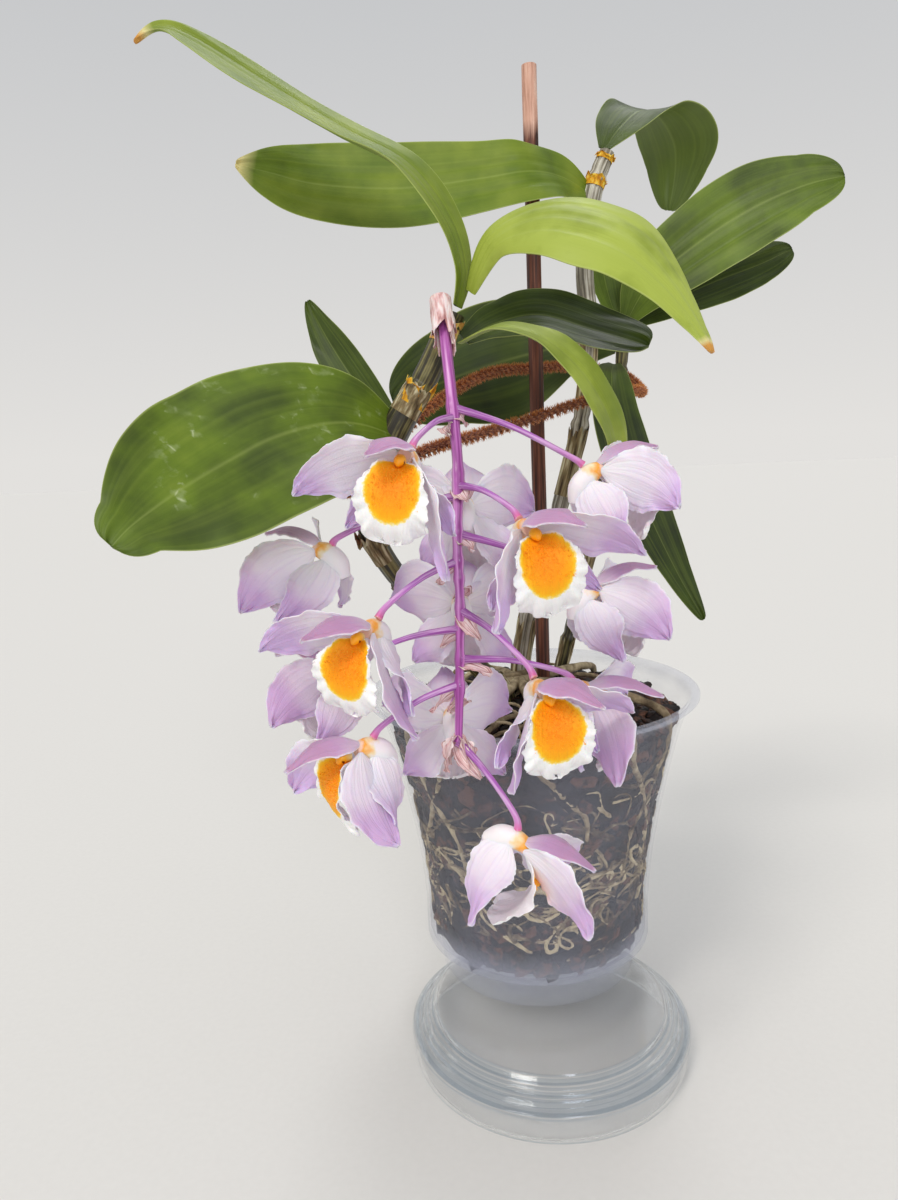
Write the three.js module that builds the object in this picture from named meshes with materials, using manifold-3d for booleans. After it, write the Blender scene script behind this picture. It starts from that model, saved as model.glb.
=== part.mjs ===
// A dendrobium orchid in bloom, in a clear pot that stands on an upturned clear saucer.
// Millimetres, +Z up. While the pieces are made the pot's axis is X = Y = 0 and the bloom
// side faces -Y. At the end the whole is moved so that its box stands centred on the origin.

import * as THREE from 'three';
import { mergeVertices } from 'three/addons/utils/BufferGeometryUtils.js';
import Module from 'manifold-3d';

const wasm = await Module();
wasm.setup();

// ---------------------------------------------------------------- driving dimensions

const AIR = 0.3; // air between pieces that touch
const BLADE = 0.7; // thickness of leaves and petals
const ROUND = 24; // facets round the pot and the saucer

// Clear saucer, upside down: [radius, height] up its stepped outside, and its wall.
const SAUCER_CENTRE = [1, -30];
const SAUCER_WALL = 1.2;
const SAUCER_OUTSIDE = [
  [50, 0], [51.2, 9.6], [50.6, 10.8], [48.4, 11.4], [47.9, 13.2],
  [45.7, 13.9], [45.2, 15.7], [43.2, 16.6], [41.7, 18.7],
];
const SAUCER_TOP = SAUCER_OUTSIDE[SAUCER_OUTSIDE.length - 1][1];
const SAUCER_INSIDE = [
  [41, SAUCER_TOP - SAUCER_WALL], [44.4, 14.2], [47, 10.6], [49.8, 9.4], [48.8, 0],
];

// Clear pot: [radius, height] from the foot up to the lip, and its wall.
const POT_WALL = 1.1;
const POT_LIP = { radius: 62.5, width: 3.4, thickness: 1.5, top: 128.6 };
const POT_FOOT_BOTTOM = SAUCER_TOP + AIR;
const POT_OUTSIDE = [
  [38, POT_FOOT_BOTTOM], [38.4, 30.4], [43.8, 31], [43.8, 46], [45.6, 66],
  [49.2, 87], [52.8, 104], [55.8, 116], [59.4, POT_LIP.top - POT_LIP.thickness],
];
const POT_FLOOR = 32.2; // upper side of its floor; the foot below is an open ring

// Bark mix: its height at the wall, how far it mounds up to the axis over a reach, its distance
// from the wall, how far in its rough top starts, and the heights of the rings up its side.
const BARK = {
  edge: 120.5,
  mound: 6,
  reach: 55,
  fromWall: 3.6,
  shoulder: 3,
  roughness: 1,
  levels: [60, 86, 104, 115.5],
  rings: 4,
  crown: 2,
  sectors: 20,
};

// Stake and canes: [x, y, z] from the bark upwards, with the radius at each point.
const STAKE = { path: [[5, 0, 46], [5, 2, 200], [5, 4, 348]], radius: [2.6, 2.6, 2.6] };
const CANE_A = {
  path: [
    [-8, -3, 114], [-11, -6, 129], [-21, -12, 141], [-35, -22, 160], [-46, -30, 176],
    [-54, -36, 192], [-54, -40, 207], [-45, -42, 226], [-34, -42, 243], [-25, -42, 261],
  ],
  radius: [3.4, 3.6, 3.4, 3.3, 3.4, 3.8, 4.2, 4.8, 4, 3.6],
};
const CANE_B = {
  path: [
    [-4, 12, 114], [-3, 12, 132], [1, 12, 154], [9, 12, 180], [15, 12, 200],
    [21, 12, 222], [25, 13, 244], [26, 14, 264], [25, 15, 284], [28, 15, 308], [34, 16, 323],
  ],
  radius: [3.2, 3.6, 3.2, 2.8, 3.1, 3, 3, 3.3, 3.1, 3.4, 2.6],
};
const CANE_C = {
  path: [[12, 26, 114], [16, 26, 132], [27, 27, 173], [35, 27, 209], [40, 27, 240], [42, 27, 264]],
  radius: [2.6, 2.6, 2.4, 2.3, 2.2, 2.6],
};

// Chenille tie: one closed ring round the canes and the stake.
const TIE_RADIUS = 2.2;
const TIE_PATH = [
  [-56, -49, 209], [-47, -52, 214], [-34, -49, 220], [-18, -38, 224], [2, -16, 229], [24, -2, 235],
  [42, 12, 238], [48, 25, 239], [42, 34, 246], [24, 28, 249], [5, 14, 248], [-12, 2, 246],
  [-28, -12, 238], [-42, -25, 227], [-54, -31, 215], [-60, -36, 210], [-61, -43, 208],
];

// Leaves, from base to tip. path: [x, y, z]. half: half width. face: where the upper side
// looks, from base to tip. fold: how far the margins rise (+) or droop (-) beside the midrib.
const LEAVES = {
  leaf_01: {
    path: [[-24, -42, 263], [-22, -42, 274], [-26, -42, 288], [-38, -42, 304], [-56, -42, 314],
      [-78, -42, 327], [-98, -42, 340], [-107, -44, 343], [-114, -46, 339]],
    half: [3.4, 6, 9, 11, 12, 11, 7.5, 4.5, 1],
    face: [[0.9, -0.35, 0.2], [0.7, -0.45, 0.5], [0.4, -0.45, 0.8], [0.35, -0.55, 0.75], [-0.3, -0.5, 0.8]],
    fold: 0.12,
  },
  leaf_02: {
    path: [[27, 15, 309], [16, 5, 312], [3, -7, 311], [-14, -8, 309], [-41, -8, 307],
      [-68, -9, 309], [-84, -10, 313], [-95, -11, 316]],
    half: [3, 8.5, 11.5, 13.5, 15.6, 13.6, 9, 1],
    face: [[0.1, -1, 0.3], [0, -0.95, 0.3], [0, -0.95, 0.3]],
    fold: 0.1,
    wave: [1.2, 1.2],
  },
  leaf_03: {
    path: [[-20, -43, 267], [-13, -50, 280], [0, -58, 284], [13, -65, 281],
      [25, -70, 274], [35, -73, 262], [42, -75, 250], [45, -76, 243]],
    half: [2.4, 7, 12.5, 15.6, 16, 12, 7, 4],
    face: [[-0.5, -0.75, 0.4], [-0.2, -0.75, 0.65], [0.1, -0.7, 0.7], [0.45, -0.6, 0.6], [0.9, -0.3, -0.2]],
    fold: -0.22,
  },
  leaf_04: {
    path: [[33, 16, 324], [40, 22, 333], [49, 30, 341], [58, 38, 342], [66, 46, 335],
      [68, 51, 326], [66, 53, 311]],
    half: [2.4, 10, 14, 16.5, 17, 12, 2],
    face: [[-0.4, -0.9, 0.3], [-0.3, -0.75, 0.6], [0.2, -0.1, 1], [0.5, 0.7, 0.5], [0.1, 1, 0.1]],
    fold: 0.18,
  },
  leaf_05: {
    path: [[43, 27, 265], [51, 23, 278], [68, 18, 291], [86, 13, 301], [103, 9, 307], [116, 6, 309]],
    half: [2.6, 11, 15.5, 16.5, 12, 1.4],
    face: [[-0.2, -0.9, 0.3], [-0.2, -0.9, 0.35], [-0.1, -0.9, 0.4]],
    fold: 0.1,
  },
  leaf_06: {
    path: [[45, 30, 264], [60, 33, 272], [80, 36, 280], [98, 37, 286], [110, 36, 291]],
    half: [2.2, 8, 11, 9, 1],
    face: [[0, -0.8, 0.5], [0.1, -0.8, 0.5], [0.2, -0.8, 0.5]],
    fold: 0.12,
  },
  leaf_07: {
    path: [[40, 32, 256], [22, 39, 258], [-2, 41, 254], [-26, 38, 247], [-49, 34, 238]],
    half: [2.6, 14, 25, 21, 1.4],
    face: [[0, -0.95, 0.3], [0, -0.95, 0.3], [-0.1, -0.95, 0.3]],
    fold: 0.08,
  },
  leaf_08: {
    path: [[-22, -41, 253], [-12, -38, 258], [2, -38, 260], [18, -44, 254],
      [33, -52, 248]],
    half: [2.6, 7, 10, 10, 4],
    face: [[0.1, -0.8, 0.6], [0.2, -0.8, 0.6], [0.3, -0.8, 0.6]],
    fold: 0.16,
  },
  leaf_09: {
    path: [[-23, -45, 252], [-12, -52, 255], [0, -58, 251], [10, -62, 242], [18, -61, 230],
      [22, -57, 218], [20, -52, 207]],
    half: [2.4, 6, 7.5, 8, 7.5, 6, 1.2],
    face: [[0, -0.35, 0.95], [0.15, -0.35, 0.9], [0.5, -0.65, 0.5], [0.75, -0.65, 0.2]],
    fold: 0.1,
  },
  leaf_10: {
    path: [[-42, -43, 223], [-54, -52, 228], [-65, -60, 229], [-78, -70, 224],
      [-89, -82, 217], [-100, -90, 214], [-107, -97, 210], [-113, -103, 206],
      [-116, -107, 200]],
    half: [4.5, 16, 24, 27, 25.5, 22, 17, 9.5, 1],
    face: [[0.05, -0.85, 0.5], [0.1, -0.85, 0.5], [0.15, -0.9, 0.4]],
    fold: 0.06,
    wave: [2, 1.3],
  },
  leaf_11: {
    path: [[-45, -37, 227], [-56, -30, 240], [-66, -24, 256], [-73, -20, 270]],
    half: [3, 6.5, 6, 0.8],
    face: [[-0.3, -0.8, 0.5], [-0.4, -0.7, 0.5], [-0.6, -0.7, 0.3]],
    fold: 0.25,
  },
  leaf_12: {
    path: [[40, 28, 265], [37, 33, 277], [36, 37, 290], [41, 40, 302]],
    half: [2.4, 7, 7.5, 1],
    face: [[0.3, -0.95, 0.1], [0.3, -0.95, 0.1]],
    fold: 0.25,
  },
  leaf_13: {
    path: [[37, 22, 249], [33, 6, 244], [31, -8, 232], [34, -13, 215], [42, -14, 194],
      [52, -14, 173], [62, -14, 155]],
    half: [2.4, 6, 9, 10, 8.5, 5.5, 0.9],
    face: [[0, -0.5, 0.9], [0.3, -0.85, 0.5], [0.3, -0.95, 0], [0.3, -0.95, 0.1]],
    fold: 0.14,
  },
};
// The cane that each leaf's base wraps.
const LEAF_CANES = {
  leaf_01: CANE_A, leaf_02: CANE_B, leaf_03: CANE_A, leaf_04: CANE_B, leaf_05: CANE_C,
  leaf_06: CANE_C, leaf_07: CANE_C, leaf_08: CANE_A, leaf_09: CANE_A, leaf_10: CANE_A,
  leaf_11: CANE_A, leaf_12: CANE_C, leaf_13: CANE_C,
};

// Flower stalk, from the cane down to its end.
const RACHIS = {
  path: [
    [-28, -47, 262], [-28, -55, 252], [-27, -64, 235], [-26, -72, 214], [-27, -78, 195],
    [-27, -82, 177], [-28, -86, 156], [-29, -88, 139],
  ],
  radius: [1.9, 1.7, 1.6, 1.5, 1.4, 1.3, 1.2, 1.1],
};
// Pedicels: radius where they leave the stalk, along them and at the flower; how far behind the
// flower they bend; how far they arch up; and the way in which they reach the flower's back.
const PEDICEL = { foot: 1.2, radius: 0.85, top: 1.2, bend: 8, arch: 1.5, back: [0, 0.75, -0.65] };
const SHEATH = { path: [[-29, -49, 264], [-28.5, -53, 257], [-28, -58, 247]], radius: [2.8, 3.1, 2.5] };

// Flowers. hub: where the pedicel meets the flower. turn: which way it looks, 0 towards -Y
// and positive towards +X. tilt: up or down. roll: clockwise as its front is seen. from: height
// at which its pedicel leaves the stalk. left, right: how far that petal sweeps forward and
// then nods. dorsal: how far the upper sepal leans to the right and rises.
const FLOWERS = [
  { hub: [-40, -92, 218], turn: -14, tilt: -8, roll: 8, from: 229,
    left: [20, 62], right: [50, 70], dorsal: [-30, -6] },
  { hub: [14, -74, 212], turn: 98, tilt: 6, roll: 0, from: 232,
    left: [44, 34], right: [35, 25], dorsal: [0, 0] },
  { hub: [-68, -68, 192], turn: -112, tilt: 0, roll: 0, from: 207,
    left: [25, 20], right: [43, 40], dorsal: [0, 0] },
  { hub: [14.5, -66, 176.5], turn: 102, tilt: 2, roll: 0, from: 197,
    left: [44, 42], right: [30, 25], dorsal: [0, 0] },
  { hub: [-8.7, -97, 198.4], turn: 16, tilt: -10, roll: -10, from: 210,
    left: [46, 46], right: [16, 60], dorsal: [25, -4] },
  { hub: [-52.5, -93, 172.5], turn: -30, tilt: -12, roll: 8, from: 189,
    left: [12, 40], right: [50, 74], dorsal: [-30, -4] },
  { hub: [-63.5, -68, 156], turn: -108, tilt: -2, roll: 0, from: 171,
    left: [25, 25], right: [46, 34], dorsal: [0, 0] },
  { hub: [-6.2, -99, 155.5], turn: 14, tilt: -10, roll: -4, from: 176,
    left: [52, 76], right: [16, 55], dorsal: [22, -4] },
  { hub: [9.4, -78.4, 149], turn: 72, tilt: -16, roll: 0, from: 162,
    left: [46, 50], right: [20, 20], dorsal: [10, 0] },
  { hub: [-56.5, -94, 139.5], turn: -62, tilt: -16, roll: 4, from: 155,
    left: [34, 24], right: [44, 80], dorsal: [-10, 0] },
  { hub: [-12, -98, 111], turn: 66, tilt: -50, roll: 0, from: 139,
    left: [62, -10], right: [28, 20], dorsal: [0, 30] },
  { hub: [-24, -62, 203], turn: 176, tilt: -6, roll: 0, from: 213,
    left: [32, 0], right: [32, -6], dorsal: [4, 40] },
  { hub: [-27, -67, 175], turn: 184, tilt: -6, roll: 0, from: 184,
    left: [34, -4], right: [32, 0], dorsal: [-4, 40] },
  { hub: [-31, -73, 142], turn: 186, tilt: -10, roll: 0, from: 153,
    left: [32, 0], right: [34, -4], dorsal: [3, 40] },
];

// One flower in its own frame: x to its right, y up, z the way it looks, hub at the origin.
const HUB = { centre: [0, 0.2, -2], radius: 3.1 };
const SPUR = {
  path: [[0, 0.8, 0.7], [0, -0.4, -3], [0, -3.6, -6.4], [0, -8, -8]],
  radius: [2, 2.8, 3.2, 2.2],
};
const DORSAL = {
  path: [[0, 1.9, -1], [0, 5.6, 4], [0, 6.4, 11], [0, 3.6, 19]],
  half: [0.9, 5.2, 5.8, 1],
  face: [[0, 0, 1], [0, -0.8, 0.6], [0, -1, 0.1]],
  fold: 0.3,
};
const PETAL = {
  path: [[1.1, 0.2, -1.4], [9, 1.6, -0.4], [17, 1.4, 1.6], [24.4, -0.6, 4.4]],
  half: [0.9, 6.8, 8.8, 6.8, 0.8],
  face: [[0, 0, 1], [-0.15, 0, 1], [-0.3, 0, 1]],
  fold: 0.1,
};
const FLARE = 0.6; // how much the front edge of a petal swept right forward stands out
const SEPAL = {
  path: [[1.8, -2.2, -4.2], [6, -7.6, -2.8], [11, -13.4, -0.4], [15, -18.6, 4]],
  half: [1.4, 7, 5.8, 0.8],
  face: [[-1, -0.5, 0.1], [-0.8, -0.2, 0.5], [-0.4, 0.3, 0.9]],
  fold: 0.14,
};
const LIP = {
  path: [[0, -1, 2.4], [0, -2.2, 6], [0, -5.2, 9.8], [0, -10.6, 11.6], [0, -16.2, 11], [0, -20.6, 8.6]],
  half: [1.8, 5.2, 8.6, 9.8, 8.8, 4.6],
  face: [[0, 1, 0], [0, 1, 0.3], [0, 0.6, 0.8], [0, 0.1, 1], [0, -0.2, 1]],
  fold: [0.3, 0.5, 0.24, 0.04, -0.1, -0.14],
};
// How far a tepal's tip may stray along x, y and z, and which draw of the scatter it takes.
const BEND = [{ most: 1.2, draw: 0 }, { most: 1.4, draw: 5 }, { most: 2.2, draw: 9 }];
const COLUMN = {
  path: [[0, -0.2, 2.6], [0, 0.9, 4.6], [0, 0.2, 6.4], [0, -0.9, 7.8]],
  radius: [1.3, 1.9, 2.1, 1],
};

// Rhizome, and the roots that spread from it over the bark and then down inside the wall.
const RHIZOME = { path: [[-15, 2, 129.6], [-4, 4, 130.6], [8, 16, 129.6]], radius: [2.2, 3.2, 2] };
const ROOT = {
  start: [-4, 4], // where they leave the rhizome
  startLift: 4,
  overBark: [20, 38], // distances from the axis at which they lie on the bark
  lift: 4.4, // over the bark's mean height, clear of its roughness
  shoulder: { drift: 0.08, inward: 2.4, above: 2.8 }, // the bend from the bark to the wall
  down: [0.12, 0.36, 0.6, 0.8, 1], // shares of the way down the wall
  fromWall: 1.8, // from the wall's inner side to the root's middle
  radius: [2.2, 1.7, 1.4, 1.3, 1.25, 1.25, 1.25, 1.1, 0.8],
};
// Each root: [bearing, how far down the wall it ends, drift round the wall] in degrees and mm.
const ROOTS = [
  [205, 74, 40], [232, 60, -36], [262, 48, 40], [300, 66, 44], [334, 70, -36],
  [50, 60, 40], [120, 64, 40],
];

// How finely each form is split: sides and steps of a stem, or steps and strips of a blade.
const SPLIT = {
  stake: [10, 2],
  stakeRoom: [8, 2],
  cane: [8, 18],
  youngCane: [7, 10],
  tie: [6, 30],
  rhizome: [6, 4],
  root: [5, 8],
  stalk: [6, 11],
  sheath: [6, 2],
  pedicel: [5, 4],
  spur: [5, 3],
  column: [5, 3],
  dorsal: [3, 2],
  petal: [4, 2],
  sepal: [3, 2],
  lip: [5, 4],
  longLeaf: 10, // steps of a leaf with more than 6 points
  shortLeaf: 8,
  wideLeaf: 4, // strips of a leaf over 12 mm wide each side of its midrib
  narrowLeaf: 2,
};

// Colour, roughness and opacity of each kind of piece.
const FINISHES = {
  saucer: [0xdfe6ea, 0.08, 0.35],
  pot: [0xd9dee8, 0.25, 0.4],
  root: [0xb9a57e, 0.8],
  bark: [0x33241d, 0.95],
  stake: [0x8a4a34, 0.75],
  greenCane: [0x4a4522, 0.6],
  dryCane: [0x9a948a, 0.85],
  youngCane: [0x5f6a34, 0.6],
  chenille: [0x8f5324, 1],
  leaf: [0x6f8f2a, 0.45],
  tepal: [0xe6d6ec, 0.5],
  lip: [0xf4a81d, 0.55],
  stalk: [0xa8429c, 0.5],
};

// ---------------------------------------------------------------- shape helpers

/** The value at t (0 to 1) of a smooth run through numbers or [x, y, z] points. */
function along(values, t) {
  if (!Array.isArray(values)) {
    return values;
  }
  const last = values.length - 1;
  if (last === 0) {
    return values[0];
  }
  const s = Math.min(Math.max(t, 0), 1) * last;
  const i = Math.min(Math.floor(s), last - 1);
  const f = s - i;
  const [a, b, c, d] = [i - 1, i, i + 1, i + 2].map((k) => values[Math.min(Math.max(k, 0), last)]);
  const mix = (p, q, r, w) =>
    0.5 * (2 * q + (r - p) * f + (2 * p - 5 * q + 4 * r - w) * f * f + (3 * q - p - 3 * r + w) * f ** 3);
  return Array.isArray(b) ? b.map((_, k) => mix(a[k], b[k], c[k], d[k])) : mix(a, b, c, d);
}

/** A point of a path as a vector. */
function pointAt(path, t) {
  return new THREE.Vector3(...along(path, t));
}

/** The direction of a path at t. */
function directionAt(path, t) {
  const step = 0.01;
  return pointAt(path, Math.min(t + step, 1)).sub(pointAt(path, Math.max(t - step, 0))).normalize();
}

/** A geometry from points and triangles, turned so that its faces look out. */
function closedGeometry(points, faces) {
  let volume = 0;
  for (const [a, b, c] of faces) {
    volume += points[a].dot(points[b].clone().cross(points[c]));
  }
  const turned = volume < 0 ? faces.map(([a, b, c]) => [a, c, b]) : faces;
  const geometry = new THREE.BufferGeometry();
  geometry.setAttribute(
    'position',
    new THREE.Float32BufferAttribute(points.flatMap((p) => p.toArray()), 3),
  );
  geometry.setIndex(turned.flat());
  return geometry;
}

/** Rings of equally many points joined into a closed skin, with flat ends. */
function skin(rings) {
  const sides = rings[0].length;
  const points = rings.flat();
  const faces = [];
  for (let i = 0; i + 1 < rings.length; i++) {
    for (let k = 0; k < sides; k++) {
      const [a, b] = [i * sides + k, i * sides + ((k + 1) % sides)];
      faces.push([a, b, b + sides], [a, b + sides, a + sides]);
    }
  }
  const last = (rings.length - 1) * sides;
  for (let k = 1; k + 1 < sides; k++) {
    faces.push([0, k + 1, k], [last, last + k, last + k + 1]);
  }
  return closedGeometry(points, faces);
}

/** A round stem along a path. swell makes it fatter all over, to cut room for it. */
function stem({ path, radius }, sides, steps, swell = 0) {
  const rings = [];
  let side = new THREE.Vector3(0.31, 0.17, 0.93);
  for (let i = 0; i <= steps; i++) {
    const t = i / steps;
    const centre = pointAt(path, t);
    const forward = directionAt(path, t);
    side = side.clone().addScaledVector(forward, -side.dot(forward));
    if (side.length() < 0.2) {
      side = new THREE.Vector3(1, 0, 0).addScaledVector(forward, -forward.x);
    }
    side.normalize();
    const up = forward.clone().cross(side);
    const r = along(radius, t) + swell;
    const ring = [];
    for (let k = 0; k < sides; k++) {
      const angle = (k / sides) * 2 * Math.PI;
      ring.push(
        centre.clone().addScaledVector(side, r * Math.cos(angle)).addScaledVector(up, r * Math.sin(angle)),
      );
    }
    rings.push(ring);
  }
  return skin(rings);
}

/** A closed ring of round section through the points of a path. */
function closedRing(path, radius, sides, steps) {
  const curve = new THREE.CatmullRomCurve3(path.map((p) => new THREE.Vector3(...p)), true);
  const frames = curve.computeFrenetFrames(steps, true);
  const points = [];
  const faces = [];
  for (let i = 0; i < steps; i++) {
    const centre = curve.getPointAt(i / steps);
    for (let k = 0; k < sides; k++) {
      const angle = (k / sides) * 2 * Math.PI;
      points.push(
        centre.clone()
          .addScaledVector(frames.normals[i], radius * Math.cos(angle))
          .addScaledVector(frames.binormals[i], radius * Math.sin(angle)),
      );
      const next = (i + 1) % steps;
      const [a, b] = [i * sides + k, i * sides + ((k + 1) % sides)];
      const [c, d] = [next * sides + ((k + 1) % sides), next * sides + k];
      faces.push([a, b, c], [a, c, d]);
    }
  }
  return closedGeometry(points, faces);
}

/** A thin blade, such as a leaf, petal or lip. across is the number of strips over its width. */
function blade({ path, half, face, fold = 0, wave = [0, 0] }, steps, across, mirror = 1, swell = 0) {
  const rings = [];
  for (let i = 0; i <= steps; i++) {
    const t = i / steps;
    const centre = pointAt(path, t);
    const forward = directionAt(path, t);
    const side = forward.clone().cross(pointAt(face, t)).normalize();
    const up = side.clone().cross(forward).normalize();
    const width = Math.max(along(half, t), 0.5) + swell;
    const top = [];
    const bottom = [];
    for (let k = 0; k <= across; k++) {
      const v = (2 * k) / across - 1;
      const ripple = wave[0] * Math.sin(2 * Math.PI * wave[1] * t + 1.9 * v) * v * v;
      const lift = width * along(fold, t) * v * v + ripple * Math.sin(Math.PI * t);
      const p = centre.clone().addScaledVector(side, v * width).addScaledVector(up, lift);
      top.push(p.clone().addScaledVector(up, BLADE / 2 + swell));
      bottom.push(p.clone().addScaledVector(up, -BLADE / 2 - swell));
    }
    rings.push([...top, ...bottom.reverse()].map((p) => p.set(p.x * mirror, p.y, p.z)));
  }
  return bladeSkin(rings, across + 1);
}

/** Joins a blade's rings, with the same diagonals on both faces. */
function bladeSkin(rings, row) {
  const sides = 2 * row;
  const points = rings.flat();
  const faces = [];
  const quad = (a, b, c, d, flip) =>
    flip ? faces.push([a, b, d], [b, c, d]) : faces.push([a, b, c], [a, c, d]);
  for (let i = 0; i + 1 < rings.length; i++) {
    for (let k = 0; k < sides; k++) {
      const next = (k + 1) % sides;
      quad(i * sides + k, i * sides + next, (i + 1) * sides + next, (i + 1) * sides + k, k >= row);
    }
  }
  for (const [start, flip] of [[0, true], [(rings.length - 1) * sides, false]]) {
    for (let k = 0; k + 1 < row; k++) {
      const [a, b, c, d] = [k, k + 1, sides - 2 - k, sides - 1 - k].map((n) => start + n);
      if (flip) {
        faces.push([a, c, b], [a, d, c]);
      } else {
        faces.push([a, b, c], [a, c, d]);
      }
    }
  }
  return closedGeometry(points, faces);
}

/** A turned body from [radius, height] points that start and end on the axis. */
function turned(profile) {
  const geometry = new THREE.LatheGeometry(profile.map(([r, h]) => new THREE.Vector2(r, h)), ROUND);
  geometry.rotateX(Math.PI / 2);
  return geometry;
}

/** A geometry as a solid that can be joined and cut. */
function solid(geometry) {
  const bare = geometry.clone();
  bare.deleteAttribute('normal');
  bare.deleteAttribute('uv');
  const merged = mergeVertices(bare, 1e-4);
  const position = merged.getAttribute('position').array;
  const index = Array.from(merged.index.array);
  const kept = [];
  let volume = 0;
  for (let i = 0; i < index.length; i += 3) {
    const [a, b, c] = index.slice(i, i + 3);
    if (a !== b && b !== c && c !== a) {
      kept.push(a, b, c);
      const [p, q, r] = [a, b, c].map((n) => new THREE.Vector3().fromArray(position, 3 * n));
      volume += p.dot(q.cross(r));
    }
  }
  if (volume < 0) {
    for (let i = 0; i < kept.length; i += 3) {
      [kept[i + 1], kept[i + 2]] = [kept[i + 2], kept[i + 1]];
    }
  }
  const mesh = new wasm.Mesh({
    numProp: 3,
    vertProperties: new Float32Array(position),
    triVerts: new Uint32Array(kept),
  });
  return new wasm.Manifold(mesh);
}

/** Joins solids and keeps the largest body, so loose scraps and sealed hollows go. */
function joined(solids) {
  return largest(solids.reduce((a, b) => a.add(b)));
}

/** The largest body of a solid. */
function largest(whole) {
  const bodies = whole.decompose();
  return bodies.reduce((a, b) => (b.volume() > a.volume() ? b : a));
}

/** A solid with room cut in it for others. */
function cleared(body, rooms) {
  return largest(rooms.reduce((left, room) => left.subtract(room), body));
}

/** A solid as a geometry. */
function geometryOf(body) {
  const { vertProperties, triVerts } = body.getMesh();
  const geometry = new THREE.BufferGeometry();
  geometry.setAttribute('position', new THREE.Float32BufferAttribute(vertProperties, 3));
  geometry.setIndex(Array.from(triVerts));
  return geometry;
}

// ---------------------------------------------------------------- the object

const orchid = new THREE.Group();

/** Adds a piece under its name, with its finish. */
function addPiece(name, geometry, [color, roughness, opacity = 1]) {
  const material = new THREE.MeshStandardMaterial({
    color,
    roughness,
    metalness: 0,
    opacity,
    transparent: opacity < 1,
  });
  const piece = new THREE.Mesh(geometry, material);
  piece.name = name;
  orchid.add(piece);
  return piece;
}

/** The pot's outer radius at a height. */
function potRadius(height) {
  for (let i = 1; i + 1 < POT_OUTSIDE.length; i++) {
    const [[r0, h0], [r1, h1]] = [POT_OUTSIDE[i], POT_OUTSIDE[i + 1]];
    if (height <= h1) {
      return r0 + ((r1 - r0) * Math.max(height - h0, 0)) / (h1 - h0);
    }
  }
  return POT_OUTSIDE[POT_OUTSIDE.length - 1][0];
}

/** The bark's height at a distance from the pot's axis, before its roughness. */
function barkHeight(r) {
  return BARK.edge + BARK.mound * (1 - (r / BARK.reach) ** 2);
}

function makeSaucer() {
  const underside = [[0, SAUCER_TOP - SAUCER_WALL], ...SAUCER_INSIDE];
  const profile = [...underside, ...SAUCER_OUTSIDE, [0, SAUCER_TOP]];
  const geometry = geometryOf(solid(turned(profile)));
  addPiece('saucer', geometry, FINISHES.saucer).position.set(...SAUCER_CENTRE, 0);
}

function makePot() {
  const { radius, width, thickness, top } = POT_LIP;
  const [[footRadius, footBottom], [, footTop], [base]] = POT_OUTSIDE;
  const inside = POT_OUTSIDE.slice(3, -1).map(([r, h]) => [r - POT_WALL, h]);
  const profile = [
    [0, footTop],
    [footRadius - POT_WALL, footTop],
    [footRadius - POT_WALL, footBottom],
    ...POT_OUTSIDE,
    [radius, top - thickness],
    [radius, top],
    [radius - width, top],
    ...inside.reverse(),
    [base - POT_WALL, POT_FLOOR],
    [0, POT_FLOOR],
  ];
  addPiece('pot', geometryOf(solid(turned(profile))), FINISHES.pot);
}

/** A repeatable spread of numbers from -1 to 1. */
function scatter(i, k) {
  return Math.sin(12.9898 * i + 78.233 * k + 1.7);
}

/** A root's path over the bark and down the wall. */
function rootPath([bearing, depth, drift]) {
  const place = (angle, r, z) => {
    const a = THREE.MathUtils.degToRad(angle);
    return [r * Math.cos(a), r * Math.sin(a), z];
  };
  const wall = (z) => potRadius(z) - POT_WALL - ROOT.fromWall;
  const { drift: turn, inward, above } = ROOT.shoulder;
  return [
    [...ROOT.start, barkHeight(0) + ROOT.startLift],
    ...ROOT.overBark.map((r) => place(bearing, r, barkHeight(r) + ROOT.lift)),
    place(bearing + turn * drift, wall(BARK.edge) - inward, BARK.edge + above),
    ...ROOT.down.map((share) => {
      const z = BARK.edge - share * depth;
      return place(bearing + share * drift, wall(z), z);
    }),
  ];
}

/** The bark as a closed skin: rings up its side, then in over its rough top. */
function barkSkin() {
  const ring = (r, height, rough) => {
    const points = [];
    for (let k = 0; k < BARK.sectors; k++) {
      const angle = (k / BARK.sectors) * 2 * Math.PI;
      const lift = rough * BARK.roughness * scatter(k, r);
      points.push(new THREE.Vector3(r * Math.cos(angle), r * Math.sin(angle), height + lift));
    }
    return points;
  };
  const inside = (h) => potRadius(h) - POT_WALL - BARK.fromWall;
  const rings = [POT_FLOOR + AIR, ...BARK.levels].map((h) => ring(inside(h), h, 0));
  const topRadius = inside(BARK.edge) - BARK.shoulder;
  for (let i = BARK.rings; i > 0; i--) {
    const r = (topRadius * i) / BARK.rings;
    rings.push(ring(r, barkHeight(r), 1));
  }
  rings.push(ring(BARK.crown, barkHeight(0), 0));
  return skin(rings);
}

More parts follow.
